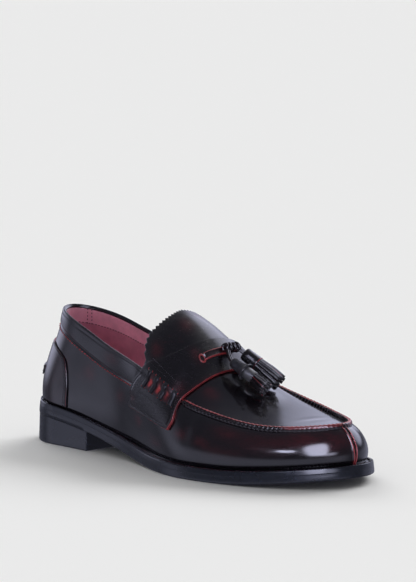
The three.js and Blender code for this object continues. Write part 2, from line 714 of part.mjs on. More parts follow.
function heelTab() {
  const base = 2 * GAP + COUNTER_EASE + COUNTER_THICKNESS;
  const grid = (d) => [TAB.low, TAB.high].map((w) => heelRow(TAB.reach, w, d));
  return sheetSolid(grid(base + TAB_THICKNESS), grid(base));
}

// Tassels

// Directions across an axis: to the side, and away from the surface
function frameOf(axis, up) {
  const side = axis.clone().cross(up).normalize();
  return { side, lift: side.clone().cross(axis).normalize() };
}

// Round section, a little flattened towards the surface
function disc(centre, axis, up, radius, sides) {
  const { side, lift } = frameOf(axis, up);
  return steps(sides - 1, 0, 2 * Math.PI * (1 - 1 / sides)).map((angle) => (
    along(along(centre, side, radius * Math.cos(angle)), lift, radius * FLATTENED * Math.sin(angle))
  ));
}

const turned = (start, axis, up, stations, sides) => (
  barSolid(stations.map(([d, r]) => disc(along(start, axis, d), axis, up, r, sides)))
);

// One strip of the fringe, a flat bar that leans out from the axis
function fringeStrip(start, axis, up, angle, length) {
  const { side, lift } = frameOf(axis, up);
  const ray = side.clone().multiplyScalar(Math.cos(angle)).addScaledVector(lift, FLATTENED * Math.sin(angle));
  const flat = ray.clone().cross(axis).normalize();
  const half = (Math.PI * FRINGE_RADIUS * STRIP.width) / FRINGE_STRIPS;
  const root = TASSEL_CAP_RADIUS * STRIP.root;
  return barSolid([0, 0.5, 1].map((k) => {
    const r = root + (FRINGE_RADIUS - root) * smooth(k * STRIP.spread);
    const d = TASSEL_CAP_LENGTH - STRIP_ROOT + (length + STRIP_ROOT) * k;
    const p = along(along(start, axis, d), ray, r);
    const corner = (a, b) => along(along(p, flat, a * half), ray, b);
    return [corner(-1, 0), corner(1, 0), corner(1, -STRIP_THICKNESS), corner(-1, -STRIP_THICKNESS)];
  }));
}

// Where a tassel starts and points: its cap rides on the strap, its fringe on the apron
function tasselAxis(name) {
  const { from, to } = TASSELS[name];
  const start = raised(from.at, from.u, strapTop(from.at, from.u) + TASSEL_CAP_RADIUS + TASSEL_CLEAR);
  const end = raised(to.at, to.u, FRINGE_RADIUS + TASSEL_CLEAR);
  const up = formNormal((from.at + to.at) / 2, (from.u + to.u) / 2);
  return { start, axis: end.sub(start).normalize(), up };
}

function tassel(name) {
  const { start, axis, up } = tasselAxis(name);
  const profile = CAP_SHAPE.map(([d, r]) => [TASSEL_CAP_LENGTH * d, TASSEL_CAP_RADIUS * r]);
  const cap = turned(start, axis, up, profile, CAP_SIDES);
  const core = turned(start, axis, up, [
    [TASSEL_CAP_LENGTH * CORE.from, TASSEL_CAP_RADIUS * CORE.fromRadius],
    [TASSEL_CAP_LENGTH + FRINGE_LENGTH * CORE.to, FRINGE_RADIUS * CORE.toRadius],
  ], CORE_SIDES);
  const strips = steps(FRINGE_STRIPS - 1, 0, FRINGE_STRIPS - 1).map((i) => {
    const length = FRINGE_LENGTH * (1 - STRIP_CUTS[i % STRIP_CUTS.length]);
    return fringeStrip(start, axis, up, (2 * Math.PI * (i + 0.5)) / FRINGE_STRIPS, length);
  });
  return joined([cap, core, ...strips]);
}

// The thong from its hole in the strap, the knot, and a neck to each tassel
function tasselTie() {
  const half = THONG_WIDTH / 2 / SHOE_LENGTH;
  const rows = steps(THONG_STEPS, THONG.from, THONG.to);
  const stations = () => [THONG.at - half, THONG.at + half];
  const strip = patch(rows, stations, strapTop, (at, u) => strapTop(at, u) + THONG_THICKNESS);
  const knot = raised(KNOT.at, KNOT.u, strapTop(KNOT.at, KNOT.u) + KNOT_RADIUS);
  const up = formNormal(KNOT.at, KNOT.u);
  const level = vec(0, 1, 0);
  const profile = KNOT_SHAPE.map(([d, r]) => [(d * KNOT_LENGTH) / 2, r * KNOT_RADIUS]);
  const ball = turned(knot, level, up, profile, KNOT_SIDES);
  const necks = Object.keys(TASSELS).map((name) => {
    const { start, axis } = tasselAxis(name);
    const bend = along(start, axis, -2 * NECK_RADIUS);
    const ring = (p, direction) => disc(p, direction, up, NECK_RADIUS, NECK_SIDES);
    return barSolid([ring(knot, bend.clone().sub(knot).normalize()), ring(bend, axis),
      ring(along(start, axis, -GAP), axis)]);
  });
  return joined([strip, ball, ...necks]);
}

// Pieces, their colours, and the group

const leather = { color: 0x1c0a0e, roughness: 0.22, metalness: 0 };
const pieces = [
  ['top_lift', topLift(), { color: 0x101012, roughness: 0.7, metalness: 0 }],
  ['heel_block', heelBlock(), { color: 0x16141a, roughness: 0.35, metalness: 0 }],
  ['outsole', outsole(), { color: 0x16141a, roughness: 0.35, metalness: 0 }],
  ['welt', welt(), { color: 0x141217, roughness: 0.45, metalness: 0 }],
  ['insole', insole(), { color: 0x7a4650, roughness: 0.85, metalness: 0 }],
  ['upper', upper(), leather],
  ['heel_counter', heelCounter(), leather],
  ['heel_tab', heelTab(), leather],
  ['tongue', tongue(), leather],
  ['saddle_strap', strap(), leather],
  ['side_lace_lateral', sideLace(-1), { color: 0x22161c, roughness: 0.35, metalness: 0 }],
  ['side_lace_medial', sideLace(1), { color: 0x22161c, roughness: 0.35, metalness: 0 }],
  ['tassel_tie', tasselTie(), leather],
  ['tassel_lateral', tassel('lateral'), leather],
  ['tassel_medial', tassel('medial'), leather],
];

const shoe = new THREE.Group();
for (const [name, geometry, look] of pieces) {
  const mesh = new THREE.Mesh(geometry, new THREE.MeshStandardMaterial(look));
  mesh.name = name;
  shoe.add(mesh);
}
shoe.position.x = -(heelDraw(0) + HEEL_LENGTH) / 2;

export default shoe;
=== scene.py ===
"""The looks of a tassel loafer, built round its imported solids. Sizes are in millimetres until a mesh is made."""

import math

import bpy
import numpy as np
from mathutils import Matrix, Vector


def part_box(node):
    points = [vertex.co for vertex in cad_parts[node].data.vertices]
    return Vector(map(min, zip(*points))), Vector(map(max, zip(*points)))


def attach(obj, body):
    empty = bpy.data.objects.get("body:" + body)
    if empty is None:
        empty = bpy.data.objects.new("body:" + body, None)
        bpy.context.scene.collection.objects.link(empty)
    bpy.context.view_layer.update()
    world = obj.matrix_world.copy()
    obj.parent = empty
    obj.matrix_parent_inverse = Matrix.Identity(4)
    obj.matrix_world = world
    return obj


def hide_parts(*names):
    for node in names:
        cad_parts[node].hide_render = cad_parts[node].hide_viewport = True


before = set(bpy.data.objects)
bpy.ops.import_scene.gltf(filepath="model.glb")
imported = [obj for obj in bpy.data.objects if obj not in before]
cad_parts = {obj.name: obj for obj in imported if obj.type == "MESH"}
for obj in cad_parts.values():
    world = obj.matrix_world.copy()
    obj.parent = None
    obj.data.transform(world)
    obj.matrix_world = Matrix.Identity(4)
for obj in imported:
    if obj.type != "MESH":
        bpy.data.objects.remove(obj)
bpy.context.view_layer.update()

# Driving sizes, in millimetres

SOLE_LOW, SOLE_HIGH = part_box("outsole")
SHOE_LENGTH = (SOLE_HIGH.x - SOLE_LOW.x) * 1000
BALL_WIDTH = 108.0
HEEL_RISE = 21.0
HEEL_LENGTH = 73.5
HEEL_FLARE = 0.5
HEEL_SETBACK = 0.2
TOP_LIFT = 6.0
TOE_SPRING = 6.6
OUTSOLE_THICKNESS = 4.8
WELT_THICKNESS = 3.0
WELT_REACH = 11.0
WELT_STEP = 0.5
GAP = 0.3
FLANGE = 5.4
FLANGE_HEEL = 3.4
BACK_HEIGHT = 64.2
TOPLINE_LEAN = 16.0
APRON_SETBACK = 14.0
CROWN_HEIGHT = 34.0
UPPER_WALL = 2.2
COLLAR_STEP = 0.8
SEAM_HEIGHT = 2.6
SEAM_WIDTH = 3.8
STRAP_THICKNESS = 1.8
STRAP_EASE = 0.2
TONGUE_THICKNESS = 2.0
TOOTH_DEPTH = 1.7
TEETH = 30
COUNTER_THICKNESS = 1.2
COUNTER_EASE = 0.1
TAB_THICKNESS = 1.0
LACE_THICKNESS = 1.3
LACE_WIDTH = 4.6
THONG_WIDTH = 4.0
THONG_THICKNESS = 1.6
KNOT_RADIUS = 3.8
KNOT_LENGTH = 13.0
NECK_RADIUS = 1.7
SEAM_PITCH = 3.1
CAP_LENGTH = 12.0
CAP_RADIUS = 5.2
FRINGE_LENGTH = 21.0
FRINGE_RADIUS = 6.6
TASSEL_CLEAR = 1.0
STITCH_RADIUS = 0.28
BAND_HEM = 0.042
TURN_IN = 3.2
WALL_RUN = 62.0
BAR_WIDTH = 3.4
BORDER = 2.0

# Sections from the heel (0) to the toe (1), as in the part: shares of the ball width, the back height,
# the crown height, and the heel rise or toe spring

SECTION_NAMES = ("at", "centre", "half", "edge_c", "edge_half", "wall",
                 "tilt", "crown", "bulge", "shoulder", "drop", "bottom", "band")
SECTIONS = (
    (0.00, 0.000, 0.320, 0.010, 0.200, 1.015, 0.000, 0.88, 0.036, 0.078, 0.390, 1.00, 0.84),
    (0.12, 0.007, 0.317, 0.005, 0.205, 0.945, 0.000, 0.88, 0.044, 0.065, 0.390, 0.86, 0.78),
    (0.25, -0.003, 0.320, 0.002, 0.240, 0.852, 0.000, 0.88, 0.062, 0.056, 0.343, 0.62, 0.735),
    (0.38, -0.043, 0.320, -0.025, 0.290, 0.852, 0.000, 1.00, 0.072, 0.065, 0.288, 0.29, 0.71),
    (0.50, -0.065, 0.388, -0.038, 0.355, 0.822, 0.008, 0.93, 0.086, 0.094, 0.195, 0.05, 0.70),
    (0.62, -0.047, 0.493, -0.023, 0.392, 0.638, 0.019, 0.48, 0.084, 0.136, 0.097, 0.00, 0.70),
    (0.74, -0.008, 0.508, 0.004, 0.380, 0.515, 0.019, 0.18, 0.081, 0.156, 0.062, 0.00, 0.70),
    (0.87, 0.026, 0.458, 0.028, 0.335, 0.400, 0.012, 0.09, 0.072, 0.134, 0.047, 0.39, 0.70),
    (1.00, 0.048, 0.420, 0.037, 0.262, 0.362, 0.000, 0.03, 0.078, 0.109, 0.044, 1.00, 0.70),
)
SOLE_ENDS = dict(heel=0.12, heel_power=2, toe=0.22, toe_power=2.05)
EDGE_ENDS = dict(heel=0.155, heel_power=2, toe=0.24, toe_power=2.25)
HANDLE = 0.36
BAND_END = 0.43
BAND_FADE = 0.05
THROAT = 0.52
TONGUE_FRONT = 0.57
SEAM_START = 0.615

# u, rear, front
STRAP = ((0.00, 0.552, 0.626), (0.35, 0.549, 0.626), (0.62, 0.541, 0.626), (0.82, 0.523, 0.624),
         (1.00, 0.468, 0.617), (1.18, 0.438, 0.620), (1.34, 0.424, 0.624), (1.46, 0.419, 0.619),
         (1.54, 0.425, 0.608))
# u, rear
TONGUE = ((0.00, 0.448), (0.30, 0.451), (0.60, 0.443), (0.85, 0.444), (0.97, 0.468))
# up, front
COUNTER = ((0.035, 0.152), (0.200, 0.153), (0.350, 0.146), (0.465, 0.134), (0.550, 0.119),
           (0.610, 0.094), (0.640, 0.062), (0.660, 0.034))
TAB = dict(reach=0.032, low=0.27, high=0.38)
# u, rear, front
SLITS = ((0.965, 0.508, 0.596), (1.200, 0.488, 0.600))
LACE_BARS = 4
THONG = dict(at=0.584, start=-0.36, end=0.1)
KNOT = dict(at=0.584, u=0.16)
# name: (start at, start u, end at, end u)
TASSELS = {"lateral": (0.62, -0.04, 0.732, 0.08), "medial": (0.602, 0.3, 0.7, 0.52)}


# Small maths

def smooth(v):
    k = np.clip(v, 0, 1)
    return k * k * (3 - 2 * k)


def natural_spline(x, y):
    x, y = np.array(x, float), np.array(y, float)
    n = len(x)
    h = np.diff(x)
    rows = np.eye(n)
    right = np.zeros(n)
    for i in range(1, n - 1):
        rows[i, i - 1:i + 2] = h[i - 1], 2 * (h[i - 1] + h[i]), h[i]
        right[i] = 6 * ((y[i + 1] - y[i]) / h[i] - (y[i] - y[i - 1]) / h[i - 1])
    bend = np.linalg.solve(rows, right)

    def value(at):
        v = np.clip(at, x[0], x[-1])
        i = np.clip(np.searchsorted(x, v, side="right") - 1, 0, n - 2)
        b = (v - x[i]) / h[i]
        a = 1 - b
        curve = ((a ** 3 - a) * bend[i] + (b ** 3 - b) * bend[i + 1]) * h[i] ** 2 / 6
        return a * y[i] + b * y[i + 1] + curve
    return value


def broken(table, name):
    """Straight lines through one column of a table, against its first column."""
    x = [row[0] for row in table]
    y = [row[name] for row in table]
    return lambda v: np.interp(v, x, y)


def eased(table, name):
    """The same line with its corners rounded."""
    line = broken(table, name)
    steps = np.linspace(-1, 1, 9)
    shares = np.cos(steps * math.pi / 2.2)
    return lambda v: sum(s * line(np.abs(np.abs(v) + o * 0.09)) for o, s in zip(steps, shares)) / shares.sum()


def unit(v):
    return v / np.maximum(np.linalg.norm(v, axis=-1, keepdims=True), 1e-9)


column = {name: natural_spline([r[0] for r in SECTIONS], [r[i] for r in SECTIONS])
          for i, name in enumerate(SECTION_NAMES)}


# The last's shape: phi goes round, 0 at the heel, pi/2 lateral, pi at the toe, then medial

def share_of(phi):
    return (1 - np.cos(phi)) / 2


def phi_of(at):
    return np.arccos(1 - 2 * np.clip(at, 0, 1))


def side_of(phi):
    return np.where(np.sin(phi) >= 0, -1.0, 1.0)


def ends(at, heel, heel_power, toe, toe_power):
    back = np.clip((heel - at) / heel, 0, 1) ** heel_power
    front = np.clip((at - 1 + toe) / toe, 0, 1) ** toe_power
    return np.sqrt(np.maximum((1 - back) * (1 - front), 0))


def bottom_at(at):
    rise = np.where(np.asarray(at) < 0.68, HEEL_RISE, TOE_SPRING)
    return np.maximum(0, column["bottom"](at)) * rise


def welt_top(at):
    return bottom_at(at) + OUTSOLE_THICKNESS + GAP + WELT_THICKNESS


def outline(phi, inset=0.0):
    at = share_of(phi)
    x = inset + (SHOE_LENGTH - 2 * inset) * at
    w = (column["half"](at) * BALL_WIDTH - inset) * ends(at, **SOLE_ENDS)
    return x, column["centre"](at) * BALL_WIDTH + side_of(phi) * w, x / SHOE_LENGTH


def flange(at):
    return FLANGE_HEEL + (FLANGE - FLANGE_HEEL) * smooth((at - 0.25) / 0.35)


def feather(phi, inset=0.0):
    x, y, at = outline(phi, flange(share_of(phi)) + inset)
    return np.stack([x, y, welt_top(at) + GAP], -1)


def edge(phi):
    at = share_of(phi)
    side = side_of(phi)
    x = TOPLINE_LEAN + (SHOE_LENGTH - TOPLINE_LEAN - APRON_SETBACK) * at
    y = BALL_WIDTH * (column["edge_c"](at) + side * column["edge_half"](at) * ends(at, **EDGE_ENDS))
    z = welt_top(at) + GAP + BACK_HEIGHT * (column["wall"](at) + side * column["tilt"](at))
    return np.stack([x, y, z], -1)


def outward(phi):
    d = feather(phi + 0.002) - feather(phi - 0.002)
    return unit(np.stack([d[..., 1], -d[..., 0], np.zeros_like(d[..., 0])], -1))


def wall(phi, w):
    phi, w = np.broadcast_arrays(np.asarray(phi, float), np.asarray(w, float))
    at = share_of(phi)
    foot, top, out = feather(phi), edge(phi), outward(phi)
    low = foot + out * (column["bulge"](at) * BACK_HEIGHT)[..., None]
    low[..., 2] += (top[..., 2] - foot[..., 2]) * HANDLE
    high = top + out * (column["shoulder"](at) * BACK_HEIGHT)[..., None]
    high[..., 2] -= column["drop"](at) * BACK_HEIGHT
    w = w[..., None]
    v = 1 - w
    return foot * v ** 3 + low * (3 * v * v * w) + high * (3 * v * w * w) + top * w ** 3


def apron(at, s):
    at, s = np.broadcast_arrays(np.asarray(at, float), np.asarray(s, float))
    a, b = edge(phi_of(at)), edge(2 * math.pi - phi_of(at))
    power = 1 - 0.25 * np.clip((0.85 - at) / 0.4, 0, 1)
    arch = np.clip(1 - s * s, 0, 1) ** power
    k = ((s + 1) / 2)[..., None]
    p = a * (1 - k) + b * k
    p[..., 2] += CROWN_HEIGHT * column["crown"](at) * arch * ends(at, **EDGE_ENDS)
    return p


def form(at, u):
    """The upper across a section: |u| up to 1 is the apron, from 1 to 2 the wall down to the welt."""
    at, u = np.broadcast_arrays(np.asarray(at, float), np.asarray(u, float))
    phi = np.where(u < 0, phi_of(at), 2 * math.pi - phi_of(at))
    side = wall(phi, np.clip(2 - np.abs(u), 0, 1))
    top = apron(at, np.clip(u, -1, 1))
    return np.where((np.abs(u) <= 1)[..., None], top, side)


def normal_of(surface, a, b, step_a, step_b):
    da = surface(a + step_a, b) - surface(a - step_a, b)
    db = surface(a, b + step_b) - surface(a, b - step_b)
    return unit(np.cross(da, db))


def wall_normal(phi, w):
    phi, w = np.broadcast_arrays(np.asarray(phi, float), np.asarray(w, float))
    return normal_of(wall, phi, np.clip(w, 0.01, 0.99), 0.004, 0.01)


def form_normal(at, u):
    at, u = np.broadcast_arrays(np.asarray(at, float), np.asarray(u, float))
    return normal_of(form, at, u, 0.003, 0.04)


def raised(at, u, d):
    return form(at, u) + form_normal(at, u) * np.asarray(d, float)[..., None]


def band_fade(at):
    return 1 - smooth((at - BAND_END) / BAND_FADE)


def strap_lift(at, u):
    across = 1 - smooth((np.abs(u) - 0.985) / 0.1)
    forward = 1 - smooth((at - TONGUE_FRONT - 0.003) / 0.04)
    up = 2 - np.maximum(1, np.abs(u))
    over_band = smooth((up - column["band"](at)) / 0.1 + 1.2) * band_fade(at)
    return GAP + ((TONGUE_THICKNESS + GAP) * forward + STRAP_EASE) * across + COLLAR_STEP * over_band


def strap_top(at, u):
    return strap_lift(at, u) + STRAP_THICKNESS + GAP


# Meshes

SHIFT = (HEEL_SETBACK - HEEL_FLARE + HEEL_LENGTH) / 2
ORIGIN = np.array([SHIFT, 0, 0])


def grid_faces(rows, cols, wrap=False, start=0):
    """Quads of a grid of points; wrap joins its last column to its first."""
    r = np.arange(rows - 1)[:, None]
    c = np.arange(cols if wrap else cols - 1)[None, :]
    d = (c + 1) % cols
    quads = np.stack([r * cols + c, r * cols + d, (r + 1) * cols + d, (r + 1) * cols + c], -1)
    return quads.reshape(-1, 4) + start


def piece(name, points, faces, materials, slots=None, values=None, slot="upper_leather", stands_for=()):
    """A mesh object that rides on the shoe. slots gives each face's material, values a number per point."""
    mesh = bpy.data.meshes.new(name)
    co = (np.asarray(points, float).reshape(-1, 3) - ORIGIN) / 1000
    mesh.from_pydata(co.tolist(), [], [tuple(int(i) for i in f) for f in faces])
    mesh.polygons.foreach_set("use_smooth", np.ones(len(mesh.polygons), bool))
    for m in materials:
        mesh.materials.append(m)
    if slots is not None:
        mesh.polygons.foreach_set("material_index", np.asarray(slots, np.int32))
    for key, value in (values or {}).items():
        layer = mesh.attributes.new(key, "FLOAT", "POINT")
        layer.data.foreach_set("value", np.asarray(value, np.float32).reshape(-1))
    mesh.validate()
    mesh.update()
    obj = bpy.data.objects.new(name, mesh)
    bpy.context.scene.collection.objects.link(obj)
    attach(obj, "root")
    if stands_for:
        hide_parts(*stands_for)
    return obj


class Parts:
    """Several grids gathered into one mesh, with a value per point."""

    def __init__(self):
        self.points, self.faces, self.slots, self.values, self.count = [], [], [], {}, 0

    def add(self, points, faces, slot=0, **values):
        flat = np.asarray(points, float).reshape(-1, 3)
        faces = [tuple(int(i) + self.count for i in f) for f in faces]
        self.points.append(flat)
        self.faces += faces
        self.slots += [slot] * len(faces)
        for key in set(self.values) | set(values):
            known = self.values.setdefault(key, [np.zeros(self.count)])
            value = values.get(key, 0.0)
            known.append(np.broadcast_to(np.asarray(value, float).reshape(-1), (len(flat),)))
        self.count += len(flat)

    def grid(self, points, wrap=False, slot=0, **values):
        points = np.asarray(points, float)
        rows, cols = points.shape[:2]
        self.add(points, grid_faces(rows, cols, wrap), slot, **values)

    def tube(self, sections, slot=0, closed=False, **values):
        """Sections of equal size along a path, capped at its ends unless it is closed."""
        s = np.asarray(sections, float)
        rows, cols = s.shape[:2]
        faces = grid_faces(rows, cols, True).tolist()
        if closed:
            last = (rows - 1) * cols
            faces += [(last + i, last + (i + 1) % cols, (i + 1) % cols, i) for i in range(cols)]
        else:
            faces.append(tuple(range(cols))[::-1])
            faces.append(tuple((rows - 1) * cols + i for i in range(cols)))
        self.add(s, faces, slot, **values)

    def build(self, name, materials, **more):
        values = {k: np.concatenate(v) for k, v in self.values.items()}
        obj = piece(name, np.concatenate(self.points), self.faces, materials, self.slots, values, **more)
        return obj


def frames_along(path, up):
    """Tangent, side and up vectors along a path of points; up is a vector or one per point."""
    path = np.asarray(path, float)
    tangent = unit(np.gradient(path, axis=0))
    side = unit(np.cross(tangent, np.broadcast_to(up, path.shape)))
    return tangent, side, np.cross(side, tangent)


def even(path, pitch, *more):
    """Points spaced evenly along a path, and other rows of numbers at the same places."""
    path = np.asarray(path, float)
    run = np.concatenate([[0], np.cumsum(np.linalg.norm(np.diff(path, axis=0), axis=1))])
    n = max(2, int(round(run[-1] / pitch)) + 1)
    at = np.linspace(0, run[-1], n)
    return [np.stack([np.interp(at, run, np.asarray(m)[:, k]) for k in range(3)], 1) for m in (path, *more)]


def stitch_row(parts, path, normals, pitch, share=0.62, radius=STITCH_RADIUS, slant=0.0, slot=0, sink=0.35):
    """A row of thread stitches: short round bars whose ends dip into the leather."""
    p, n = even(path, pitch, normals)
    n = unit(n)
    t = unit(np.gradient(p, axis=0))
    t = unit(t - n * np.sum(t * n, -1, keepdims=True))
    side = np.cross(t, n)
    if slant:
        t, side = t * math.cos(slant) + side * math.sin(slant), side * math.cos(slant) - t * math.sin(slant)
    along = np.array([-1, -0.72, 0, 0.72, 1]) * pitch * share / 2
    fat = np.array([0.4, 0.85, 1, 0.85, 0.4]) * radius
    lift = (np.array([-1.6, -0.5, 0.25, -0.5, -1.6]) + 1 - sink) * radius
    turn = np.arange(6) * math.pi / 3
    for q in range(len(p)):
        centre = p[q] + t[q] * along[:, None] + n[q] * lift[:, None]
        ring = side[q] * np.cos(turn)[:, None] + n[q] * np.sin(turn)[:, None]
        parts.tube(centre[:, None] + ring[None] * fat[:, None, None], slot)


# Materials

def make_material(name):
    material = bpy.data.materials.new(name)
    material.use_nodes = True
    tree = material.node_tree
    return material, tree, tree.nodes["Principled BSDF"]


def add_node(tree, kind, settings=None, **inputs):
    """A shader node with its settings, and inputs that are numbers, colours or other nodes' outputs."""
    made = tree.nodes.new(kind)
    for key, value in (settings or {}).items():
        setattr(made, key, value)
    for key, value in inputs.items():
        socket = made.inputs[int(key[1:])] if key[0] == "i" and key[1:].isdigit() else made.inputs[key]
        if isinstance(value, bpy.types.NodeSocket):
            tree.links.new(value, socket)
        else:
            socket.default_value = value
    return made


def noise(tree, scale, detail=3.0, roughness=0.5, stretch=None):
    place = add_node(tree, "ShaderNodeTexCoord").outputs["Object"]
    if stretch:
        place = add_node(tree, "ShaderNodeMapping", Vector=place, Scale=stretch).outputs[0]
    return add_node(tree, "ShaderNodeTexNoise", Vector=place, Scale=scale, Detail=detail,
                    Roughness=roughness).outputs["Fac"]


def ramp(tree, value, low, high, to_low=0.0, to_high=1.0):
    made = add_node(tree, "ShaderNodeMapRange", {"interpolation_type": "SMOOTHSTEP"})
    tree.links.new(value, made.inputs[0])
    for i, v in enumerate((low, high, to_low, to_high)):
        made.inputs[i + 1].default_value = v
    return made.outputs[0]


def math_node(tree, operation, a, b):
    return add_node(tree, "ShaderNodeMath", {"operation": operation}, i0=a, i1=b).outputs[0]


def blend_colour(tree, factor, a, b):
    made = add_node(tree, "ShaderNodeMix", {"data_type": "RGBA"}, i0=factor, i6=a, i7=b)
    return made.outputs[2]


def attribute(tree, name):
    return add_node(tree, "ShaderNodeAttribute", {"attribute_name": name}).outputs["Fac"]


def bump(tree, height, strength, distance, normal=None):
    made = add_node(tree, "ShaderNodeBump", Height=height, Strength=strength, Distance=distance)
    if normal is not None:
        tree.links.new(normal, made.inputs["Normal"])
    return made.outputs[0]


BURGUNDY_BLACK = (0.0045, 0.0030, 0.0055, 1)
BURGUNDY = (0.070, 0.0060, 0.0110, 1)
RAW_RED = (0.38, 0.036, 0.046, 1)


def leather(name, dark=BURGUNDY_BLACK, red=BURGUNDY, raw=RAW_RED, rub=1.0, gloss=0.15, coat=0.7, crinkle=0.0):
    """Brush-off leather: black over red, rubbed through in patches, with red raw edges."""
    material, tree, shader = make_material(name)
    cloud = noise(tree, 38, 4, 0.62, (0.7, 0.7, 1.7))
    fine = noise(tree, 260, 4, 0.6, (0.5, 0.5, 1.5))
    patch = math_node(tree, "MULTIPLY", attribute(tree, "rub"), ramp(tree, cloud, 0.30, 0.62, 0.45, 1.0))
    stray = math_node(tree, "MULTIPLY", ramp(tree, cloud, 0.60, 0.74), 0.35 * rub)
    mask = math_node(tree, "ADD", patch, stray)
    mask = math_node(tree, "MULTIPLY", mask, ramp(tree, fine, 0.3, 0.6, 0.6, 1.0))
    colour = blend_colour(tree, mask, dark, red)
    worn = math_node(tree, "MULTIPLY", attribute(tree, "raw"), ramp(tree, noise(tree, 75, 2, 0.5), 0.3, 0.62, 0.6, 1.15))
    rim = ramp(tree, math_node(tree, "ADD", worn, math_node(tree, "MULTIPLY", fine, 0.35)), 0.45, 1.0)
    colour = blend_colour(tree, rim, colour, raw)
    tree.links.new(colour, shader.inputs["Base Color"])
    rough = math_node(tree, "ADD", ramp(tree, fine, 0.3, 0.7, gloss, gloss + 0.07),
                      math_node(tree, "MULTIPLY", rim, 0.3))
    tree.links.new(rough, shader.inputs["Roughness"])
    shader.inputs["Coat Weight"].default_value = coat
    shader.inputs["Coat Roughness"].default_value = 0.05
    grain = bump(tree, noise(tree, 1500, 3, 0.6), 0.06, 0.00010)
    if crinkle:
        folds = math_node(tree, "MULTIPLY", noise(tree, 620, 3, 0.6), attribute(tree, "crinkle"))
        grain = bump(tree, folds, crinkle, 0.0005, grain)
    waves = bump(tree, noise(tree, 36, 2, 0.5), 0.10, 0.0006, grain)
    tree.links.new(waves, shader.inputs["Normal"])
    return material


def plain(name, colour, rough, scale=400, depth=0.0001, strength=0.3, vary=0.25, coat=0.0, sheen=0.0):
    """One colour with a fine grain, a little uneven."""
    material, tree, shader = make_material(name)
    cloud = noise(tree, scale * 0.1, 3, 0.6)
    dark = tuple(c * (1 - vary) for c in colour[:3]) + (1,)
    light = tuple(min(1, c * (1 + vary)) for c in colour[:3]) + (1,)
    tree.links.new(blend_colour(tree, ramp(tree, cloud, 0.3, 0.7), dark, light), shader.inputs["Base Color"])
    tree.links.new(ramp(tree, cloud, 0.2, 0.8, rough * 0.85, min(1, rough * 1.15)), shader.inputs["Roughness"])
    shader.inputs["Coat Weight"].default_value = coat
    shader.inputs["Coat Roughness"].default_value = 0.1
    shader.inputs["Sheen Weight"].default_value = sheen
    tree.links.new(bump(tree, noise(tree, scale, 4, 0.65), strength, depth), shader.inputs["Normal"])
    return material


UPPER = leather("upper_leather")
STRAP_LEATHER = leather("strap_leather", gloss=0.22, coat=0.45, crinkle=0.5)
TONGUE_LEATHER = leather("tongue_leather", gloss=0.21, coat=0.5)
TASSEL_LEATHER = leather("tassel_leather", dark=(0.005, 0.004, 0.0065, 1), rub=0.4, gloss=0.22, coat=0.5)
LACE_LEATHER = leather("lace_leather", dark=(0.008, 0.007, 0.012, 1), rub=0.2, gloss=0.42, coat=0.05)
# A lighter copy of the tassel leather for the lateral tassel's cap: its lighter tone is painted light, the light that
# cap catches.
LIT_CAP_LEATHER = leather("cap_leather_painted_light", dark=(0.026, 0.026, 0.036, 1), rub=0.2, gloss=0.26, coat=0.4)
GREY_LEATHER = leather("grey_leather", dark=(0.085, 0.085, 0.105, 1), rub=0.1, gloss=0.35, coat=0.2)
LINING = plain("lining_suede", (0.57, 0.215, 0.31), 0.85, 900, 0.0002, 0.5, 0.14, sheen=0.5)
# The lining's top band above its stitch row is a real piece, but its lighter colour is painted light, standing in for
# the light falling in at the opening.
LIT_LINING_BAND = plain("lining_band_painted_light", (0.86, 0.39, 0.53), 0.85, 900, 0.0002, 0.5, 0.12, sheen=0.6)
DARK_LINING = plain("vamp_lining", (0.05, 0.03, 0.035), 0.9, 500)
EDGE = plain("sole_edge", (0.009, 0.0118, 0.0225), 0.27, 260, 0.00006, 0.2, 0.15, coat=0.45)
WELT_LEATHER = plain("welt_leather", (0.008, 0.008, 0.013), 0.36, 500, 0.0001, 0.35, 0.25, coat=0.25)
RUBBER = plain("lift_rubber", (0.013, 0.0145, 0.024), 0.38, 600, 0.0001, 0.3)
THREAD = plain("thread_black", (0.006, 0.005, 0.008), 0.55, 3000, 0.00005, 0.5)
RED_THREAD = plain("thread_red", (0.34, 0.032, 0.04), 0.6, 3000, 0.00005, 0.5)
GREY_THREAD = plain("thread_grey", (0.050, 0.045, 0.060), 0.45, 3000, 0.00005, 0.5)
# Near-black for the insides of slits, the tab's notches and the thong's hole: painted shade, standing in for the dark
# inside these openings.
PAINTED_SHADE_HOLE = plain("slit_painted_shade", (0.003, 0.002, 0.003), 0.8)


# Where the black has been rubbed through to the red: share of the length, place across (see form),
# size along, size across, strength

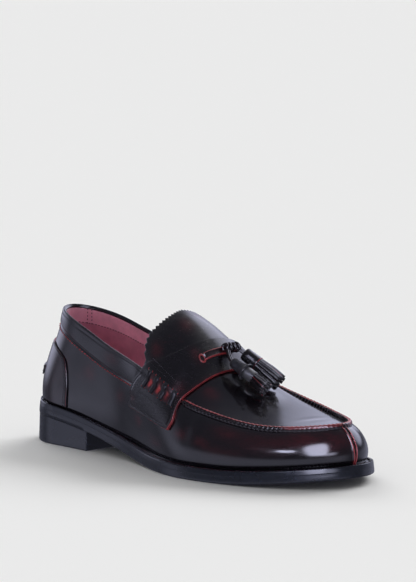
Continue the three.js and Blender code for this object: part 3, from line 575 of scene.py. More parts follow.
RUBS = (
    (0.835, -1.38, 0.045, 0.20, 0.55), (0.892, -1.40, 0.040, 0.20, 0.50), (0.950, -1.30, 0.028, 0.22, 0.85),
    (0.770, -1.30, 0.035, 0.14, 0.55), (0.985, -1.37, 0.018, 0.25, 0.80), (0.770, -1.66, 0.050, 0.10, 0.40),
    (0.501, -0.18, 0.018, 0.14, 0.75), (0.479, 0.20, 0.014, 0.10, 0.75), (0.488, -0.80, 0.018, 0.07, 0.90),
    (0.576, -0.42, 0.016, 0.08, 0.75), (0.661, -0.62, 0.020, 0.12, 0.55), (0.464, -1.66, 0.016, 0.06, 0.80),
    (0.648, -1.54, 0.018, 0.07, 0.70), (0.545, -1.80, 0.030, 0.06, 0.60), (0.217, -1.40, 0.022, 0.09, 0.65),
    (0.292, -1.12, 0.030, 0.06, 0.55), (0.364, -1.50, 0.022, 0.08, 0.55), (0.711, -1.56, 0.020, 0.08, 0.55),
    (0.440, -1.42, 0.016, 0.07, 0.45), (0.110, -1.50, 0.020, 0.12, 0.35), (0.060, -1.20, 0.020, 0.08, 0.40),
    (0.690, -0.86, 0.040, 0.10, 0.12), (0.840, -0.80, 0.050, 0.14, 0.15), (0.750, 1.50, 0.060, 0.15, 0.60),
    (0.880, 1.45, 0.050, 0.20, 0.70), (0.500, 1.60, 0.040, 0.12, 0.50), (0.250, 1.50, 0.040, 0.12, 0.50),
    (0.350, 1.25, 0.030, 0.07, 0.45),
)


def rub_at(at, u):
    total = np.zeros(np.broadcast(at, u).shape)
    for a, b, wide_a, wide_b, strength in RUBS:
        total = total + strength * np.exp(-((at - a) / wide_a) ** 2 - ((u - b) / wide_b) ** 2)
    return np.clip(total, 0, 1)


# Upper: wall with the collar band's step and its rolled topline, apron, lining

WALL_COLUMNS = 520
CREASES = (
    # share of the length, place across, size along, size across, depth in mm
    (0.665, -1.28, 0.012, 0.30, -0.35), (0.690, -1.32, 0.010, 0.26, 0.22), (0.665, 1.28, 0.012, 0.30, -0.35),
    (0.330, -1.55, 0.060, 0.20, -0.45), (0.440, -1.75, 0.050, 0.12, 0.35), (0.200, -1.50, 0.050, 0.20, 0.3),
    (0.330, 1.55, 0.060, 0.20, -0.45), (0.872, 0.20, 0.011, 0.33, -0.30), (0.896, 0.22, 0.012, 0.30, 0.16),
)


def creases_at(at, u):
    total = np.zeros(np.broadcast(at, u).shape)
    for a, b, wide_a, wide_b, depth in CREASES:
        total = total + depth * np.exp(-((at - a) / wide_a) ** 2 - ((u - b) / wide_b) ** 2)
    return total


def wall_relief(phi, w):
    at = share_of(phi)
    u = (2 - w) * side_of(phi)
    hem = column["band"](at) + BAND_HEM
    fade = band_fade(at)
    step = smooth((w - hem) / 0.012 + 0.5) * fade
    channel = np.exp(-((w - hem + 0.012) / 0.010) ** 2) * fade
    roll = np.sin(math.pi * np.clip((w - hem) / (1.02 - hem), 0, 1)) * fade
    behind = smooth((THROAT - at) / 0.02)
    fold = np.exp(-((w - 0.955) / 0.008) ** 2) * behind
    pucker_run = np.clip((at - SEAM_START) / 0.02, 0, 1)
    pucker = np.exp(-((1 - w) / 0.035)) * pucker_run * np.cos(phi * 150) * 0.16
    tuck = np.exp(-((1 - w) / 0.05) ** 2) * pucker_run * 0.5
    return COLLAR_STEP * step - 0.35 * channel + 0.3 * roll - 0.25 * fold - pucker - tuck + creases_at(at, u)


def build_upper():
    parts = Parts()
    phi = np.arange(WALL_COLUMNS) * 2 * math.pi / WALL_COLUMNS
    at = share_of(phi)
    tangent = np.linalg.norm(wall(phi, 1.0) - wall(phi, 0.99), axis=-1) / 0.01
    roll = UPPER_WALL / 2
    top = 1 - roll / tangent
    low = np.linspace(0, 0.66, 34)
    high = np.linspace(0.66, 1, 46)[1:]
    share = np.concatenate([low, high])
    w = share[:, None] * np.ones_like(phi)
    w = w * (1 - (1 - top)[None] * smooth((share[:, None] - 0.8) / 0.2))
    grid_phi = np.broadcast_to(phi, w.shape)
    normal = wall_normal(grid_phi, w)
    outer = wall(grid_phi, w) + normal * wall_relief(grid_phi, w)[..., None]
    up = unit(wall(phi, top) - wall(phi, top - 0.01))
    n_top = normal[-1]
    last = outer[-1]
    centre = last - n_top * roll
    turns = np.radians([22, 45, 67, 90, 113, 135, 158])
    rolled = [centre + n_top * roll * math.cos(t) + up * roll * math.sin(t) for t in turns]
    turned = 1 - TURN_IN / tangent
    band = 1 - 12.5 / tangent_length(phi)
    inner_w = np.concatenate([np.linspace(1, 0.5, 5)[:, None] * (top - turned) + turned,
                              np.linspace(0.9, 0, 5)[:, None] * (turned - band) + band,
                              np.linspace(0.97, 0.02, 26)[:, None] * band[None]])
    inner_phi = np.broadcast_to(phi, inner_w.shape)
    inner = wall(inner_phi, inner_w) - wall_normal(inner_phi, inner_w) * UPPER_WALL
    rub = rub_at(share_of(grid_phi), (2 - w) * side_of(grid_phi))
    skin = np.concatenate([outer, np.array(rolled)])
    rub = np.concatenate([rub, np.repeat(rub[-1:], len(rolled), 0)])
    parts.grid(skin, True, 0, rub=rub, raw=0.0)
    parts.grid(np.concatenate([skin[-1:], inner[:5]]), True, 0, rub=0.0, raw=0.0)
    # The lining's top band gets the lighter lining colour: painted light near the opening.
    parts.grid(inner[4:10], True, 3, rub=0.0, raw=0.0)
    parts.grid(inner[9:], True, 1, rub=0.0, raw=0.0)
    base = np.stack([inner[-1], skin[0]])
    parts.grid(base, True, 1, rub=0.0, raw=0.0)
    stations = np.linspace(phi_of(THROAT), math.pi, 170)
    s = np.sin(np.linspace(-math.pi / 2, math.pi / 2, 81))
    a, s = np.meshgrid(share_of(stations), s, indexing="ij")
    safe = np.minimum(a, 0.995)
    skin = apron(a, s) + form_normal(safe, s * 0.97) * creases_at(a, s)[..., None]
    under = apron(a, s) - form_normal(safe, s * 0.97) * UPPER_WALL
    parts.grid(skin, False, 0, rub=rub_at(a, s), raw=0.0)
    parts.grid(under[:, ::-1], False, 2, rub=0.0, raw=0.0)
    parts.grid(np.stack([under[0], skin[0]]), False, 2, rub=0.0, raw=0.0)
    return parts.build("upper_skin", [UPPER, LINING, DARK_LINING, LIT_LINING_BAND], stands_for=("upper",))


def along(run, at, *rows):
    """Rows of points read at a distance along their path."""
    return [np.array([np.interp(at, run, r[:, k]) for k in range(3)]) for r in rows]


def build_apron_seam():
    """Two raw edges pinched together and sewn: a ribbed ridge with a red top, whipped on both faces."""
    parts = Parts()
    start = phi_of(SEAM_START)
    phi = np.linspace(start, 2 * math.pi - start, 900)
    p, out = edge(phi), outward(phi)
    run = np.concatenate([[0], np.cumsum(np.linalg.norm(np.diff(p, axis=0), axis=1))])
    rib = np.cos(run * 2 * math.pi / SEAM_PITCH)
    half = SEAM_WIDTH / 2
    # outward place, height, share of the ribs, rawness
    profile = ((1.00, -0.35, 0.2, 0), (1.02, 0.10, 1, 0), (1.00, 0.45, 1, 0), (0.92, 0.74, 0.5, 0),
               (0.74, 0.94, 0.1, 0.3), (0.50, 1.06, 0, 1), (0.16, 1.08, 0, 1), (0.0, 0.92, 0, 0.5),
               (-0.16, 0.98, 0.2, 0.9), (-0.40, 0.98, 0.3, 0.4), (-0.72, 0.86, 0.6, 0), (-0.92, 0.55, 1, 0),
               (-0.98, 0.2, 1, 0), (-1.0, -0.35, 0.2, 0))
    front = smooth((share_of(phi) - 0.87) / 0.05)
    taper = smooth((run[-1] / 2 - np.abs(run - run[-1] / 2)) / 6)
    rows, raw = [], []
    for d, h, share, red in profile:
        across = half * (d - 0.5) + np.sign(d) * 0.22 * share * rib * (1 - 0.6 * front)
        row = p + out * across[:, None]
        row[:, 2] += SEAM_HEIGHT * h * (0.55 + 0.45 * taper) * (1 - 0.05 * rib * (h > 0.8))
        rows.append(row)
        raw.append(np.maximum(red, 0.45 * front * (h > 0.3)))
    parts.grid(np.array(rows), False, 0, raw=np.array(raw), rub=0.15)
    ends_faces = [tuple(i * len(phi) for i in range(len(profile))),
                  tuple(i * len(phi) + len(phi) - 1 for i in reversed(range(len(profile))))]
    parts.add(np.array(rows), ends_faces, 0, raw=np.array(raw), rub=0.15)
    parts.build("apron_seam", [UPPER])
    thread = Parts()
    # outward place, height and distance along the seam of each stitch, outer face then inner
    outer = ((1.12, 0.02, -0.9), (1.14, 0.28, -0.2), (1.10, 0.52, 0.6), (0.94, 0.76, 1.2))
    inner = ((-1.10, 0.02, 0.6), (-1.10, 0.40, 0.3), (-0.95, 0.75, 0.0), (-0.66, 0.95, -0.3), (-0.40, 0.98, -0.4))
    groove = ((-1.75, -0.02, -1.0), (-1.75, 0.10, -0.4), (-1.75, 0.10, 0.4), (-1.75, -0.02, 1.0))
    for k in np.arange(1.5, run[-1] / SEAM_PITCH - 1):
        smooth_front = np.interp(k * SEAM_PITCH, run, front) > 0.5
        for face, slot, radius in ((outer, 0, 0.36), (inner, 0, 0.40), (groove, 1, 0.30)):
            if face is outer and smooth_front:
                continue
            path = []
            for d, h, shift in face:
                centre, ray = along(run, k * SEAM_PITCH + shift, p, out)
                path.append(centre + ray * half * (d - 0.5) + np.array([0, 0, SEAM_HEIGHT * h]))
            round_bar(thread, path, radius, ray + np.array([0.1, 0.1, 0.6]), 6, slot, 0.8)
    return thread.build("apron_seam_thread", [THREAD, GREY_THREAD])


def build_toe_split():
    """The toe's split seam: two red-edged ridges with a groove between them."""
    parts = Parts()
    w = np.linspace(0.0, 0.99, 60)
    p = wall(math.pi, w)
    out = wall_normal(np.full_like(w, math.pi), w)
    spread = 0.55 + 0.45 * smooth(w / 0.5)
    for side in (-1, 1):
        # sideways place, height, rawness
        profile = ((-1.6, -0.4, 0), (-0.9, 0.0, 0), (-0.45, 0.2, 0), (-0.15, 0.5, 0.4), (0.15, 0.8, 1),
                   (0.50, 0.85, 1), (0.80, 0.5, 0.5), (1.0, -0.8, 0))
        rows = []
        for d, h, red in profile:
            row = p + out * h
            row[:, 1] += side * (1.9 * spread - d * 1.05)
            rows.append(row)
        raw = np.repeat(np.array([r[2] for r in profile])[:, None], len(w), 1)
        rub = np.repeat(np.array([0.2, 0.5, 0.7, 0.8, 0.8, 0.5, 0.2, 0])[:, None], len(w), 1)
        rows = np.array(rows)
        turn = slice(None) if side > 0 else slice(None, None, -1)
        parts.grid(rows[turn], False, 0, raw=raw[turn], rub=rub[turn])
    parts.build("toe_split_seam", [UPPER])
    thread = Parts()
    stitch_row(thread, p + out * 0.1, out, 2.6, 0.6, 0.3)
    return thread.build("toe_split_thread", [THREAD])


# How a cut edge is shaped: inset as a share of its softness, height as a share of the thickness, rawness
EDGE_SHAPE = ((0, 0, 1), (0, 0.70, 1), (0.3, 0.92, 0.7), (1, 1, 0))
LAYERED_EDGE = ((0, 0, 0.8), (0, 0.34, 0.9), (0.35, 0.42, 0), (0.35, 0.52, 0), (0, 0.60, 1), (0, 0.80, 1),
                (0.3, 0.94, 0.8), (1, 1, 0))


def sheet(parts, surface, a_of, b_rows, thickness, soft=0.5, raw_sides=(1, 1, 1, 1), slot=0, a_steps=60,
          base=0.0, rub=None, inset_a=None, inset_b=None, shape=EDGE_SHAPE, crinkle=None):
    """A leather piece laid on a surface, with rounded raw edges. surface(a, b, d) raises the point (a, b)
    by d. a_of(b) gives the first and last a of the row b. raw_sides: first a, last a, first b, last b."""
    inset, height, red = np.array(shape, float).T
    inset = inset * soft
    height = height * thickness
    steps = len(shape)
    b_all = np.concatenate([b_rows[0] + inset * inset_b, b_rows[1:-1], b_rows[-1] - inset[::-1] * inset_b])
    inner_b = (b_all > b_rows[0] + soft * inset_b) & (b_all < b_rows[-1] - soft * inset_b)
    inner_b[:steps] = True
    inner_b[-steps:] = True
    row_up = np.concatenate([height, np.full(len(b_rows) - 2, thickness), height[::-1]])[inner_b]
    row_raw = np.concatenate([red * raw_sides[2], np.zeros(len(b_rows) - 2), red[::-1] * raw_sides[3]])[inner_b]
    b_all = b_all[inner_b]
    inner = np.linspace(0, 1, a_steps)[1:-1]
    grid_a = []
    for b in b_all:
        first, last = a_of(b)
        start = first + inset * inset_a
        stop = last - inset[::-1] * inset_a
        grid_a.append(np.concatenate([start, start[-1] + (stop[0] - start[-1]) * inner, stop]))
    col_up = np.concatenate([height, np.full(len(inner), thickness), height[::-1]])
    col_raw = np.concatenate([red * raw_sides[0], np.zeros(len(inner)), red[::-1] * raw_sides[1]])
    a = np.array(grid_a)
    b = np.repeat(b_all[:, None], a.shape[1], 1)
    up = np.minimum(row_up[:, None], col_up[None])
    raw = np.maximum(row_raw[:, None], col_raw[None])
    more = {} if crinkle is None else dict(crinkle=crinkle(a, b))
    parts.grid(surface(a, b, base + up), False, slot, raw=raw, rub=0.0 if rub is None else rub(a, b), **more)


def strap_relief(at, u):
    """Puffed leather inside a stitched border on the side patches."""
    side = smooth((np.abs(u) - 1.0) / 0.08)
    rear, front = eased(STRAP, 1)(u), eased(STRAP, 2)(u)
    low = (STRAP[-1][0] - np.abs(u)) * WALL_RUN
    inset = np.minimum(np.minimum(at - rear, front - at) * SHOE_LENGTH, low)
    return side * (0.15 * smooth((inset - 2.4) / 5) - 0.45 * np.exp(-((inset - BORDER) / 0.6) ** 2))


def strap_place(at, u, d):
    """A point d above the strap's under face."""
    share = np.clip(np.asarray(d) / STRAP_THICKNESS, 0, 1)
    return raised(at, u, strap_lift(at, u) + d + strap_relief(at, u) * share)


def build_strap():
    parts = Parts()
    rear, front = eased(STRAP, 1), eased(STRAP, 2)
    rows = np.linspace(-STRAP[-1][0], STRAP[-1][0], 190)

    def rubs(at, u):
        hot = 0.5 * np.exp(-((at - 0.60) / 0.015) ** 2 - ((np.abs(u) - 0.93) / 0.10) ** 2)
        return np.clip(rub_at(at, u) + hot + 0.4 * smooth(1 - (front(np.abs(u)) - at) * SHOE_LENGTH / 3), 0, 1)
    sheet(parts, strap_place, lambda u: (rear(abs(u)), front(abs(u))), rows, STRAP_THICKNESS, 0.55,
          (0.2, 1, 0.95, 0.95), a_steps=64, rub=rubs, inset_a=1 / SHOE_LENGTH, inset_b=1 / WALL_RUN,
          shape=LAYERED_EDGE, crinkle=lambda at, u: smooth((np.abs(u) - 0.9) / 0.15))
    parts.build("strap_body", [STRAP_LEATHER], stands_for=("saddle_strap",))
    thread = Parts()
    inset = BORDER / SHOE_LENGTH
    for side in (-1, 1):
        u = np.linspace(1.03, STRAP[-1][0] - BORDER / WALL_RUN, 40)
        for line, shift in ((rear, inset), (front, -inset)):
            at = line(u) + shift
            stitch_row(thread, strap_place(at, u * side, STRAP_THICKNESS), form_normal(at, u * side), 2.0, 0.6, 0.24)
        low = STRAP[-1][0] - BORDER / WALL_RUN
        at = np.linspace(rear(low) + inset, front(low) - inset, 60)
        u = np.full_like(at, low) * side
        stitch_row(thread, strap_place(at, u, STRAP_THICKNESS), form_normal(at, u), 2.0, 0.6, 0.24, slot=1)
        for level, start, stop, slot in ((0.885, 0.500, 0.598, 1), (0.925, 0.504, 0.598, 0), (1.285, 0.470, 0.602, 0)):
            at = np.linspace(start, stop, 60)
            u = np.full_like(at, level) * side
            stitch_row(thread, strap_place(at, u, STRAP_THICKNESS), form_normal(at, u), 1.7, 0.55, 0.2, slot=slot)
    return thread.build("strap_thread", [THREAD, GREY_THREAD])


def build_tongue():
    parts = Parts()
    rear = natural_spline([r[0] for r in TONGUE], [r[1] for r in TONGUE])
    half = TONGUE[-1][0]
    per_tooth = 8
    rows = np.linspace(-half, half, TEETH * per_tooth + 1)
    phase = np.arange(len(rows)) % per_tooth / per_tooth
    tooth = 1 - np.abs(2 * phase - 1)
    depth = TOOTH_DEPTH * (1 + 0.35 * smooth((np.abs(rows) - 0.3) / 0.4))
    edge_at = rear(np.abs(rows)) + tooth * depth / SHOE_LENGTH
    share = np.concatenate([[0, 0], np.linspace(0, 1, 48) ** 1.15])
    lift = np.full(len(share), TONGUE_THICKNESS)
    lift[0], lift[1] = 0.0, TONGUE_THICKNESS * 0.85
    at = edge_at[:, None] + (TONGUE_FRONT - edge_at)[:, None] * share[None]
    u = np.repeat(rows[:, None], len(share), 1)
    top = raised(at, u, GAP + np.broadcast_to(lift, at.shape))
    raw = np.zeros(at.shape)
    raw[:, 0] = 0.2
    parts.grid(top, False, 0, raw=raw, rub=rub_at(at, u))
    under = raised(at, u, np.full(at.shape, GAP))
    parts.grid(under[:, ::-1], False, 1, raw=0.0, rub=0.0)
    parts.grid(np.stack([under[0], top[0]]), False, 0, raw=0.0, rub=0.0)
    parts.grid(np.stack([top[-1], under[-1]]), False, 0, raw=0.0, rub=0.0)
    return parts.build("tongue_leather", [TONGUE_LEATHER, LINING], stands_for=("tongue",))


def build_side_lace(side, name):
    """Dark bars woven over the strap between two rows of slits, with red windows between them."""
    parts = Parts()
    rear, front = broken(SLITS, 1), broken(SLITS, 2)
    half = BAR_WIDTH / 2 / SHOE_LENGTH
    low, high = SLITS[0][0], SLITS[1][0]
    u = np.linspace(low, high, 26)
    share_u = (u - low) / (high - low)
    facing = slice(None) if side < 0 else slice(None, None, -1)
    back = slice(None, None, -1) if side < 0 else slice(None)

    def patch(at, across, lift, turn, slot, raw, rub):
        across = across * side
        points = strap_place(at, across, STRAP_THICKNESS) + form_normal(at, across) * np.asarray(lift)[..., None]
        parts.grid(points[:, turn], False, slot, raw=raw, rub=rub)
    turn = np.linspace(0, math.pi, 11)
    for k in np.linspace(0, 1, LACE_BARS):
        middle = rear(u) * (1 - k) + front(u) * k
        arch = LACE_THICKNESS * np.clip(np.sin(share_u * math.pi) * 4, 0, 1) ** 0.5
        at = middle[:, None] - half * np.cos(turn)[None]
        patch(at, np.repeat(u[:, None], len(turn), 1), arch[:, None] * np.sin(turn)[None] ** 0.35 - 0.1,
              facing, 0, 0.0, 0.0)
    share = np.linspace(0, 1, 11)
    for k in range(LACE_BARS - 1):
        left, right = k / (LACE_BARS - 1), (k + 1) / (LACE_BARS - 1)
        at0 = rear(u) * (1 - left) + front(u) * left + half * 0.8
        at1 = rear(u) * (1 - right) + front(u) * right - half * 0.8
        at = at0[:, None] + (at1 - at0)[:, None] * share
        dome = np.sin(share * math.pi)[None] * np.sin(share_u * math.pi)[:, None] ** 0.5
        patch(at, np.repeat(u[:, None], len(share), 1), 0.05 + 0.35 * dome, facing, 0, 0.85 * dome ** 2, dome)
    # Slits: strips in the near-black that paints the shade inside them, with red dots at their ends.
    for u0, start, stop in SLITS:
        for k in np.linspace(0, 1, LACE_BARS):
            at = start * (1 - k) + stop * k + np.linspace(-1.5, 1.5, 12) * half
            for reach, points, lift, slot, red in ((0.65, at, 0.10, 1, 0), (0.45, at[:2], 0.15, 0, 0.9),
                                                   (0.45, at[-2:], 0.15, 0, 0.9)):
                a, across = np.meshgrid(points, np.array([-1, 1]) * reach / WALL_RUN + u0, indexing="ij")
                patch(a, across, np.full(a.shape, lift), back, slot, red, red)
    return parts.build(name, [LACE_LEATHER, PAINTED_SHADE_HOLE], slot="lace_leather", stands_for=(name.replace("woven", "side"),))


def build_counter():
    parts = Parts()
    up = np.array([r[0] for r in COUNTER])
    front = natural_spline(up, [r[1] for r in COUNTER])
    rows = np.linspace(up[0], up[-1], 70)

    def surface(phi, w, d):
        return wall(phi, w) + wall_normal(phi, w) * (GAP * 0.5 + np.asarray(d))[..., None]

    def reach(w):
        r = phi_of(max(float(front(w)), 0.004))
        return -r, r
    sheet(parts, surface, reach, rows, COUNTER_THICKNESS, 0.5, (0.75, 0.75, 0, 0.7), a_steps=90,
          inset_a=0.008, inset_b=1 / WALL_RUN, rub=lambda a, b: 0.15 + 0 * a)
    w = np.concatenate([np.linspace(up[0], 0.6, 50), np.linspace(0.6, up[-1], 30)[1:]])
    for side in (-1, 1):
        arc = phi_of(np.maximum(front(w), 0.004)) * side
        path = surface(arc, w, np.full_like(w, 0.35))
        path = path + outward(arc) * 0.1
        ahead = np.cross(unit(np.gradient(path, axis=0)), wall_normal(arc, w)) * -side
        round_bar(parts, path + ahead * 0.75, 0.95, wall_normal(arc, w), 10, 1, raw=0.0, rub=0.0)
    parts.build("counter_leather", [UPPER, WELT_LEATHER], stands_for=("heel_counter",))
    thread = Parts()
    w = np.linspace(0.05, 0.62, 90)
    for side in (-1, 1):
        for inset in (1.7, 3.3):
            arc = phi_of(np.maximum(front(w) - inset / SHOE_LENGTH, 0.004)) * side
            path = surface(arc, w, np.full_like(w, COUNTER_THICKNESS))
            stitch_row(thread, path, wall_normal(arc, w), 2.0, 0.6, 0.24)
    thread.build("counter_thread", [THREAD])
    tab = Parts()
    rows = np.linspace(TAB["low"], TAB["high"], 14)
    r = phi_of(TAB["reach"])

    def tab_surface(phi, w, d):
        return wall(phi, w) + wall_normal(phi, w) * (GAP + COUNTER_THICKNESS + np.asarray(d))[..., None]
    sheet(tab, tab_surface, lambda w: (-r, r), rows, TAB_THICKNESS, 0.4, (0.25, 0.25, 0, 0), a_steps=40,
          inset_a=0.01, inset_b=1 / WALL_RUN, rub=lambda a, b: 0.1 + 0 * a)
    arc = np.linspace(-0.93, 0.93, 40) * r
    # Two near-black bars paint the shade inside the tab's notches, with a red thread between them.
    for level, slot, radius in ((0.30, 1, 0.5), (0.325, 2, 0.3), (0.35, 1, 0.5)):
        w = np.full_like(arc, level)
        path = tab_surface(arc, w, np.full_like(arc, TAB_THICKNESS - 0.1))
        round_bar(tab, path, radius, wall_normal(arc, w), 8, slot, raw=0.0, rub=0.0)
    return tab.build("back_tab", [UPPER, PAINTED_SHADE_HOLE, RED_THREAD], stands_for=("heel_tab",))


def build_collar_stitching():
    parts = Parts()
    phi = np.concatenate([np.linspace(-phi_of(0.455), 0, 200), np.linspace(0, phi_of(0.455), 200)[1:]])
    at = share_of(phi)
    w = column["band"](at)
    normal = wall_normal(phi, w)
    path = wall(phi, w) + normal * (wall_relief(phi, w) + 0.12)[:, None]
    stitch_row(parts, path, normal, 3.4, 0.50, 0.42, 0, 0)
    inside = 1 - 12.5 / tangent_length(phi)
    path = wall(phi, inside) - wall_normal(phi, inside) * (UPPER_WALL + 0.05)
    stitch_row(parts, path, -wall_normal(phi, inside), 2.4, 0.55, 0.28, 0, 1)
    for turn in (-0.30, -0.36, 0.30, 0.36):
        w = np.linspace(0.97, float(1 - 12.5 / tangent_length(np.array([turn]))[0]), 40)
        arc = np.full_like(w, turn)
        path = wall(arc, w) - wall_normal(arc, w) * (UPPER_WALL + 0.05)
        stitch_row(parts, path, -wall_normal(arc, w), 2.4, 0.55, 0.28, 0, 1)
    return parts.build("collar_stitching", [RED_THREAD, THREAD])


def tangent_length(phi):
    """Length of the wall's curve per unit of w near its top, in millimetres."""
    return np.linalg.norm(wall(phi, 1.0) - wall(phi, 0.8), axis=-1) / 0.2


# Sole and heel

SOLE_COLUMNS = 420


def sole_ring(inset, height, phi):
    x, y, at = outline(phi, inset)
    return np.stack([x, y, bottom_at(at) + height], -1)


def build_outsole():
    parts = Parts()
    phi = np.arange(SOLE_COLUMNS) * 2 * math.pi / SOLE_COLUMNS
    t = OUTSOLE_THICKNESS
    # inset, height
    profile = ((1.2, 0.0), (0.5, 0.05), (0.12, 0.45), (0.0, 0.9), (0.02, t * 0.35), (0.12, t * 0.7),
               (0.30, t + 0.12), (0.30, t + 0.15), (0.9, t + 0.14), (14.0, t))
    free = smooth((share_of(phi) * SHOE_LENGTH - HEEL_LENGTH + 2) / 3)
    rings = [sole_ring(i, h, phi) if h > t / 2 else sole_ring(i * free, h * free, phi) for i, h in profile]
    parts.grid(np.array(rings)[::-1], True, 0)
    half = SOLE_COLUMNS // 2
    low = rings[0]
    pairs = np.stack([low[:half + 1], np.concatenate([low[:1], low[:half - 1:-1]])], 1)
    share = np.linspace(0, 1, 9)[None, :, None]
    floor = pairs[:, :1] * (1 - share) + pairs[:, 1:] * share
    parts.grid(floor, False, 1)
    top = rings[-1]
    pairs = np.stack([top[:half + 1], np.concatenate([top[:1], top[:half - 1:-1]])], 1)
    parts.grid((pairs[:, :1] * (1 - share) + pairs[:, 1:] * share)[:, ::-1], False, 1)
    return parts.build("outsole_edge", [EDGE, WELT_LEATHER], slot="edge_leather", stands_for=("outsole",))


def build_welt():
    parts = Parts()
    phi = np.arange(SOLE_COLUMNS) * 2 * math.pi / SOLE_COLUMNS
    low = OUTSOLE_THICKNESS + GAP * 0.5
    high = OUTSOLE_THICKNESS + GAP + WELT_THICKNESS
    # inset, height
    profile = ((0.9, low), (0.30, low), (0.36, low + 0.5), (0.50, low + 1.5), (0.64, high - 0.7),
               (0.72, high - 0.15), (0.82, high + 0.2), (1.0, high + 0.3), (1.19, high + 0.1), (1.45, high - 0.35),
               (3.5, high - 0.4), (3.8, high - 0.1), (4.1, high), (8.0, high), (14.0, high), (14.0, low))
    back = 1 - smooth((share_of(phi) - 0.16) / 0.12)
    lip = back * 0.8
    rings = []
    for i, h in profile:
        raise_by = lip if 0.2 < i < 1.2 and h > high else -0.6 * back * (1.3 < i < 3.6) * (h > low)
        rings.append(sole_ring(i, h + raise_by, phi))
    rings = np.array(rings)
    parts.tube(rings[::-1].transpose(1, 0, 2), 0, True)
    parts.build("welt_strip", [EDGE], slot="welt_leather", stands_for=("welt",))
    thread = Parts()
    ring = sole_ring(2.5, high - 0.42, np.linspace(0, 2 * math.pi, 1200))
    stitch_row(thread, ring, np.broadcast_to([0, 0, 1.0], ring.shape), 2.6, 0.74, 0.52, 0, 0, 0.1)
    return thread.build("welt_thread", [GREY_THREAD], slot="welt_leather")


def heel_draw(z):
    return HEEL_SETBACK - HEEL_FLARE * (1 - z / HEEL_RISE)


def build_heel():
    """The stacked heel and its lift, with eased corners and faint layer lines."""
    parts = Parts()
    breast = phi_of(HEEL_LENGTH / SHOE_LENGTH)
    arc = np.linspace(-breast, breast, 220)
    arc = np.concatenate([arc[:1], [arc[0] + 0.004], arc[1:-1], [arc[-1] - 0.004], arc[-1:]])

    def level(z, inset, follow):
        x = heel_draw(z) + inset + (HEEL_LENGTH - heel_draw(z) - 2 * inset) * share_of(arc) / share_of(breast)
        y = outline(arc, heel_draw(z) + inset)[1]
        height = bottom_at(x / SHOE_LENGTH) - GAP * 0.4 if follow else np.full_like(x, z)
        across = np.stack([x, y, height], -1)
        steps = np.array([0.012, 0.03, 0.2, 0.4, 0.6, 0.8, 0.97, 0.988])[:, None]
        face = across[-1] * (1 - steps) + across[0] * steps
        if follow:
            face[:, 2] = across[-1, 2]
        return np.concatenate([across, face])
    stack = [(0.0, 0.6, False), (0.35, 0.15, False), (0.9, 0.0, False), (TOP_LIFT, 0.0, False),
             (TOP_LIFT + 0.15, 0.0, False)]
    rings = [level(z, inset, follow) for z, inset, follow in stack]
    rings.append(level(HEEL_RISE, 0.0, True))
    rings = np.array(rings)
    parts.grid(rings[:, ::-1], True, 0)
    count = rings.shape[1]
    parts.add(rings[0], [tuple(range(count))], 1)
    parts.add(rings[-1], [tuple(reversed(range(count)))], 0)
    return parts.build("heel_stack", [EDGE, RUBBER], slot="edge_leather", stands_for=("heel_block", "top_lift"))


# Thong, knot and tassels

def axis_frame(axis, up):
    side = unit(np.cross(axis, up))
    return side, unit(np.cross(side, axis))


def tassel_axis(name):
    a0, u0, a1, u1 = TASSELS[name]
    start = raised(np.array(a0), np.array(u0), strap_top(a0, u0) + CAP_RADIUS + TASSEL_CLEAR)
    stop = raised(np.array(a1), np.array(u1), np.array(FRINGE_RADIUS + TASSEL_CLEAR))
    up = form_normal(np.array((a0 + a1) / 2), np.array((u0 + u1) / 2))
    return start, unit(stop - start), up


def apron_heights():
    a, s = np.meshgrid(np.linspace(0.56, 0.99, 90), np.linspace(-1, 1, 61), indexing="ij")
    return apron(a, s).reshape(-1, 3)


APRON_CLOUD = apron_heights()


def clear_of_apron(points, gap):
    """Points lifted so that none comes nearer to the apron than gap."""
    flat = points.reshape(-1, 3)
    far = (flat[:, None, 0] - APRON_CLOUD[None, :, 0]) ** 2 + (flat[:, None, 1] - APRON_CLOUD[None, :, 1]) ** 2
    ground = APRON_CLOUD[far.argmin(1), 2]
    flat[:, 2] = np.maximum(flat[:, 2], ground + gap)
    return flat.reshape(points.shape)


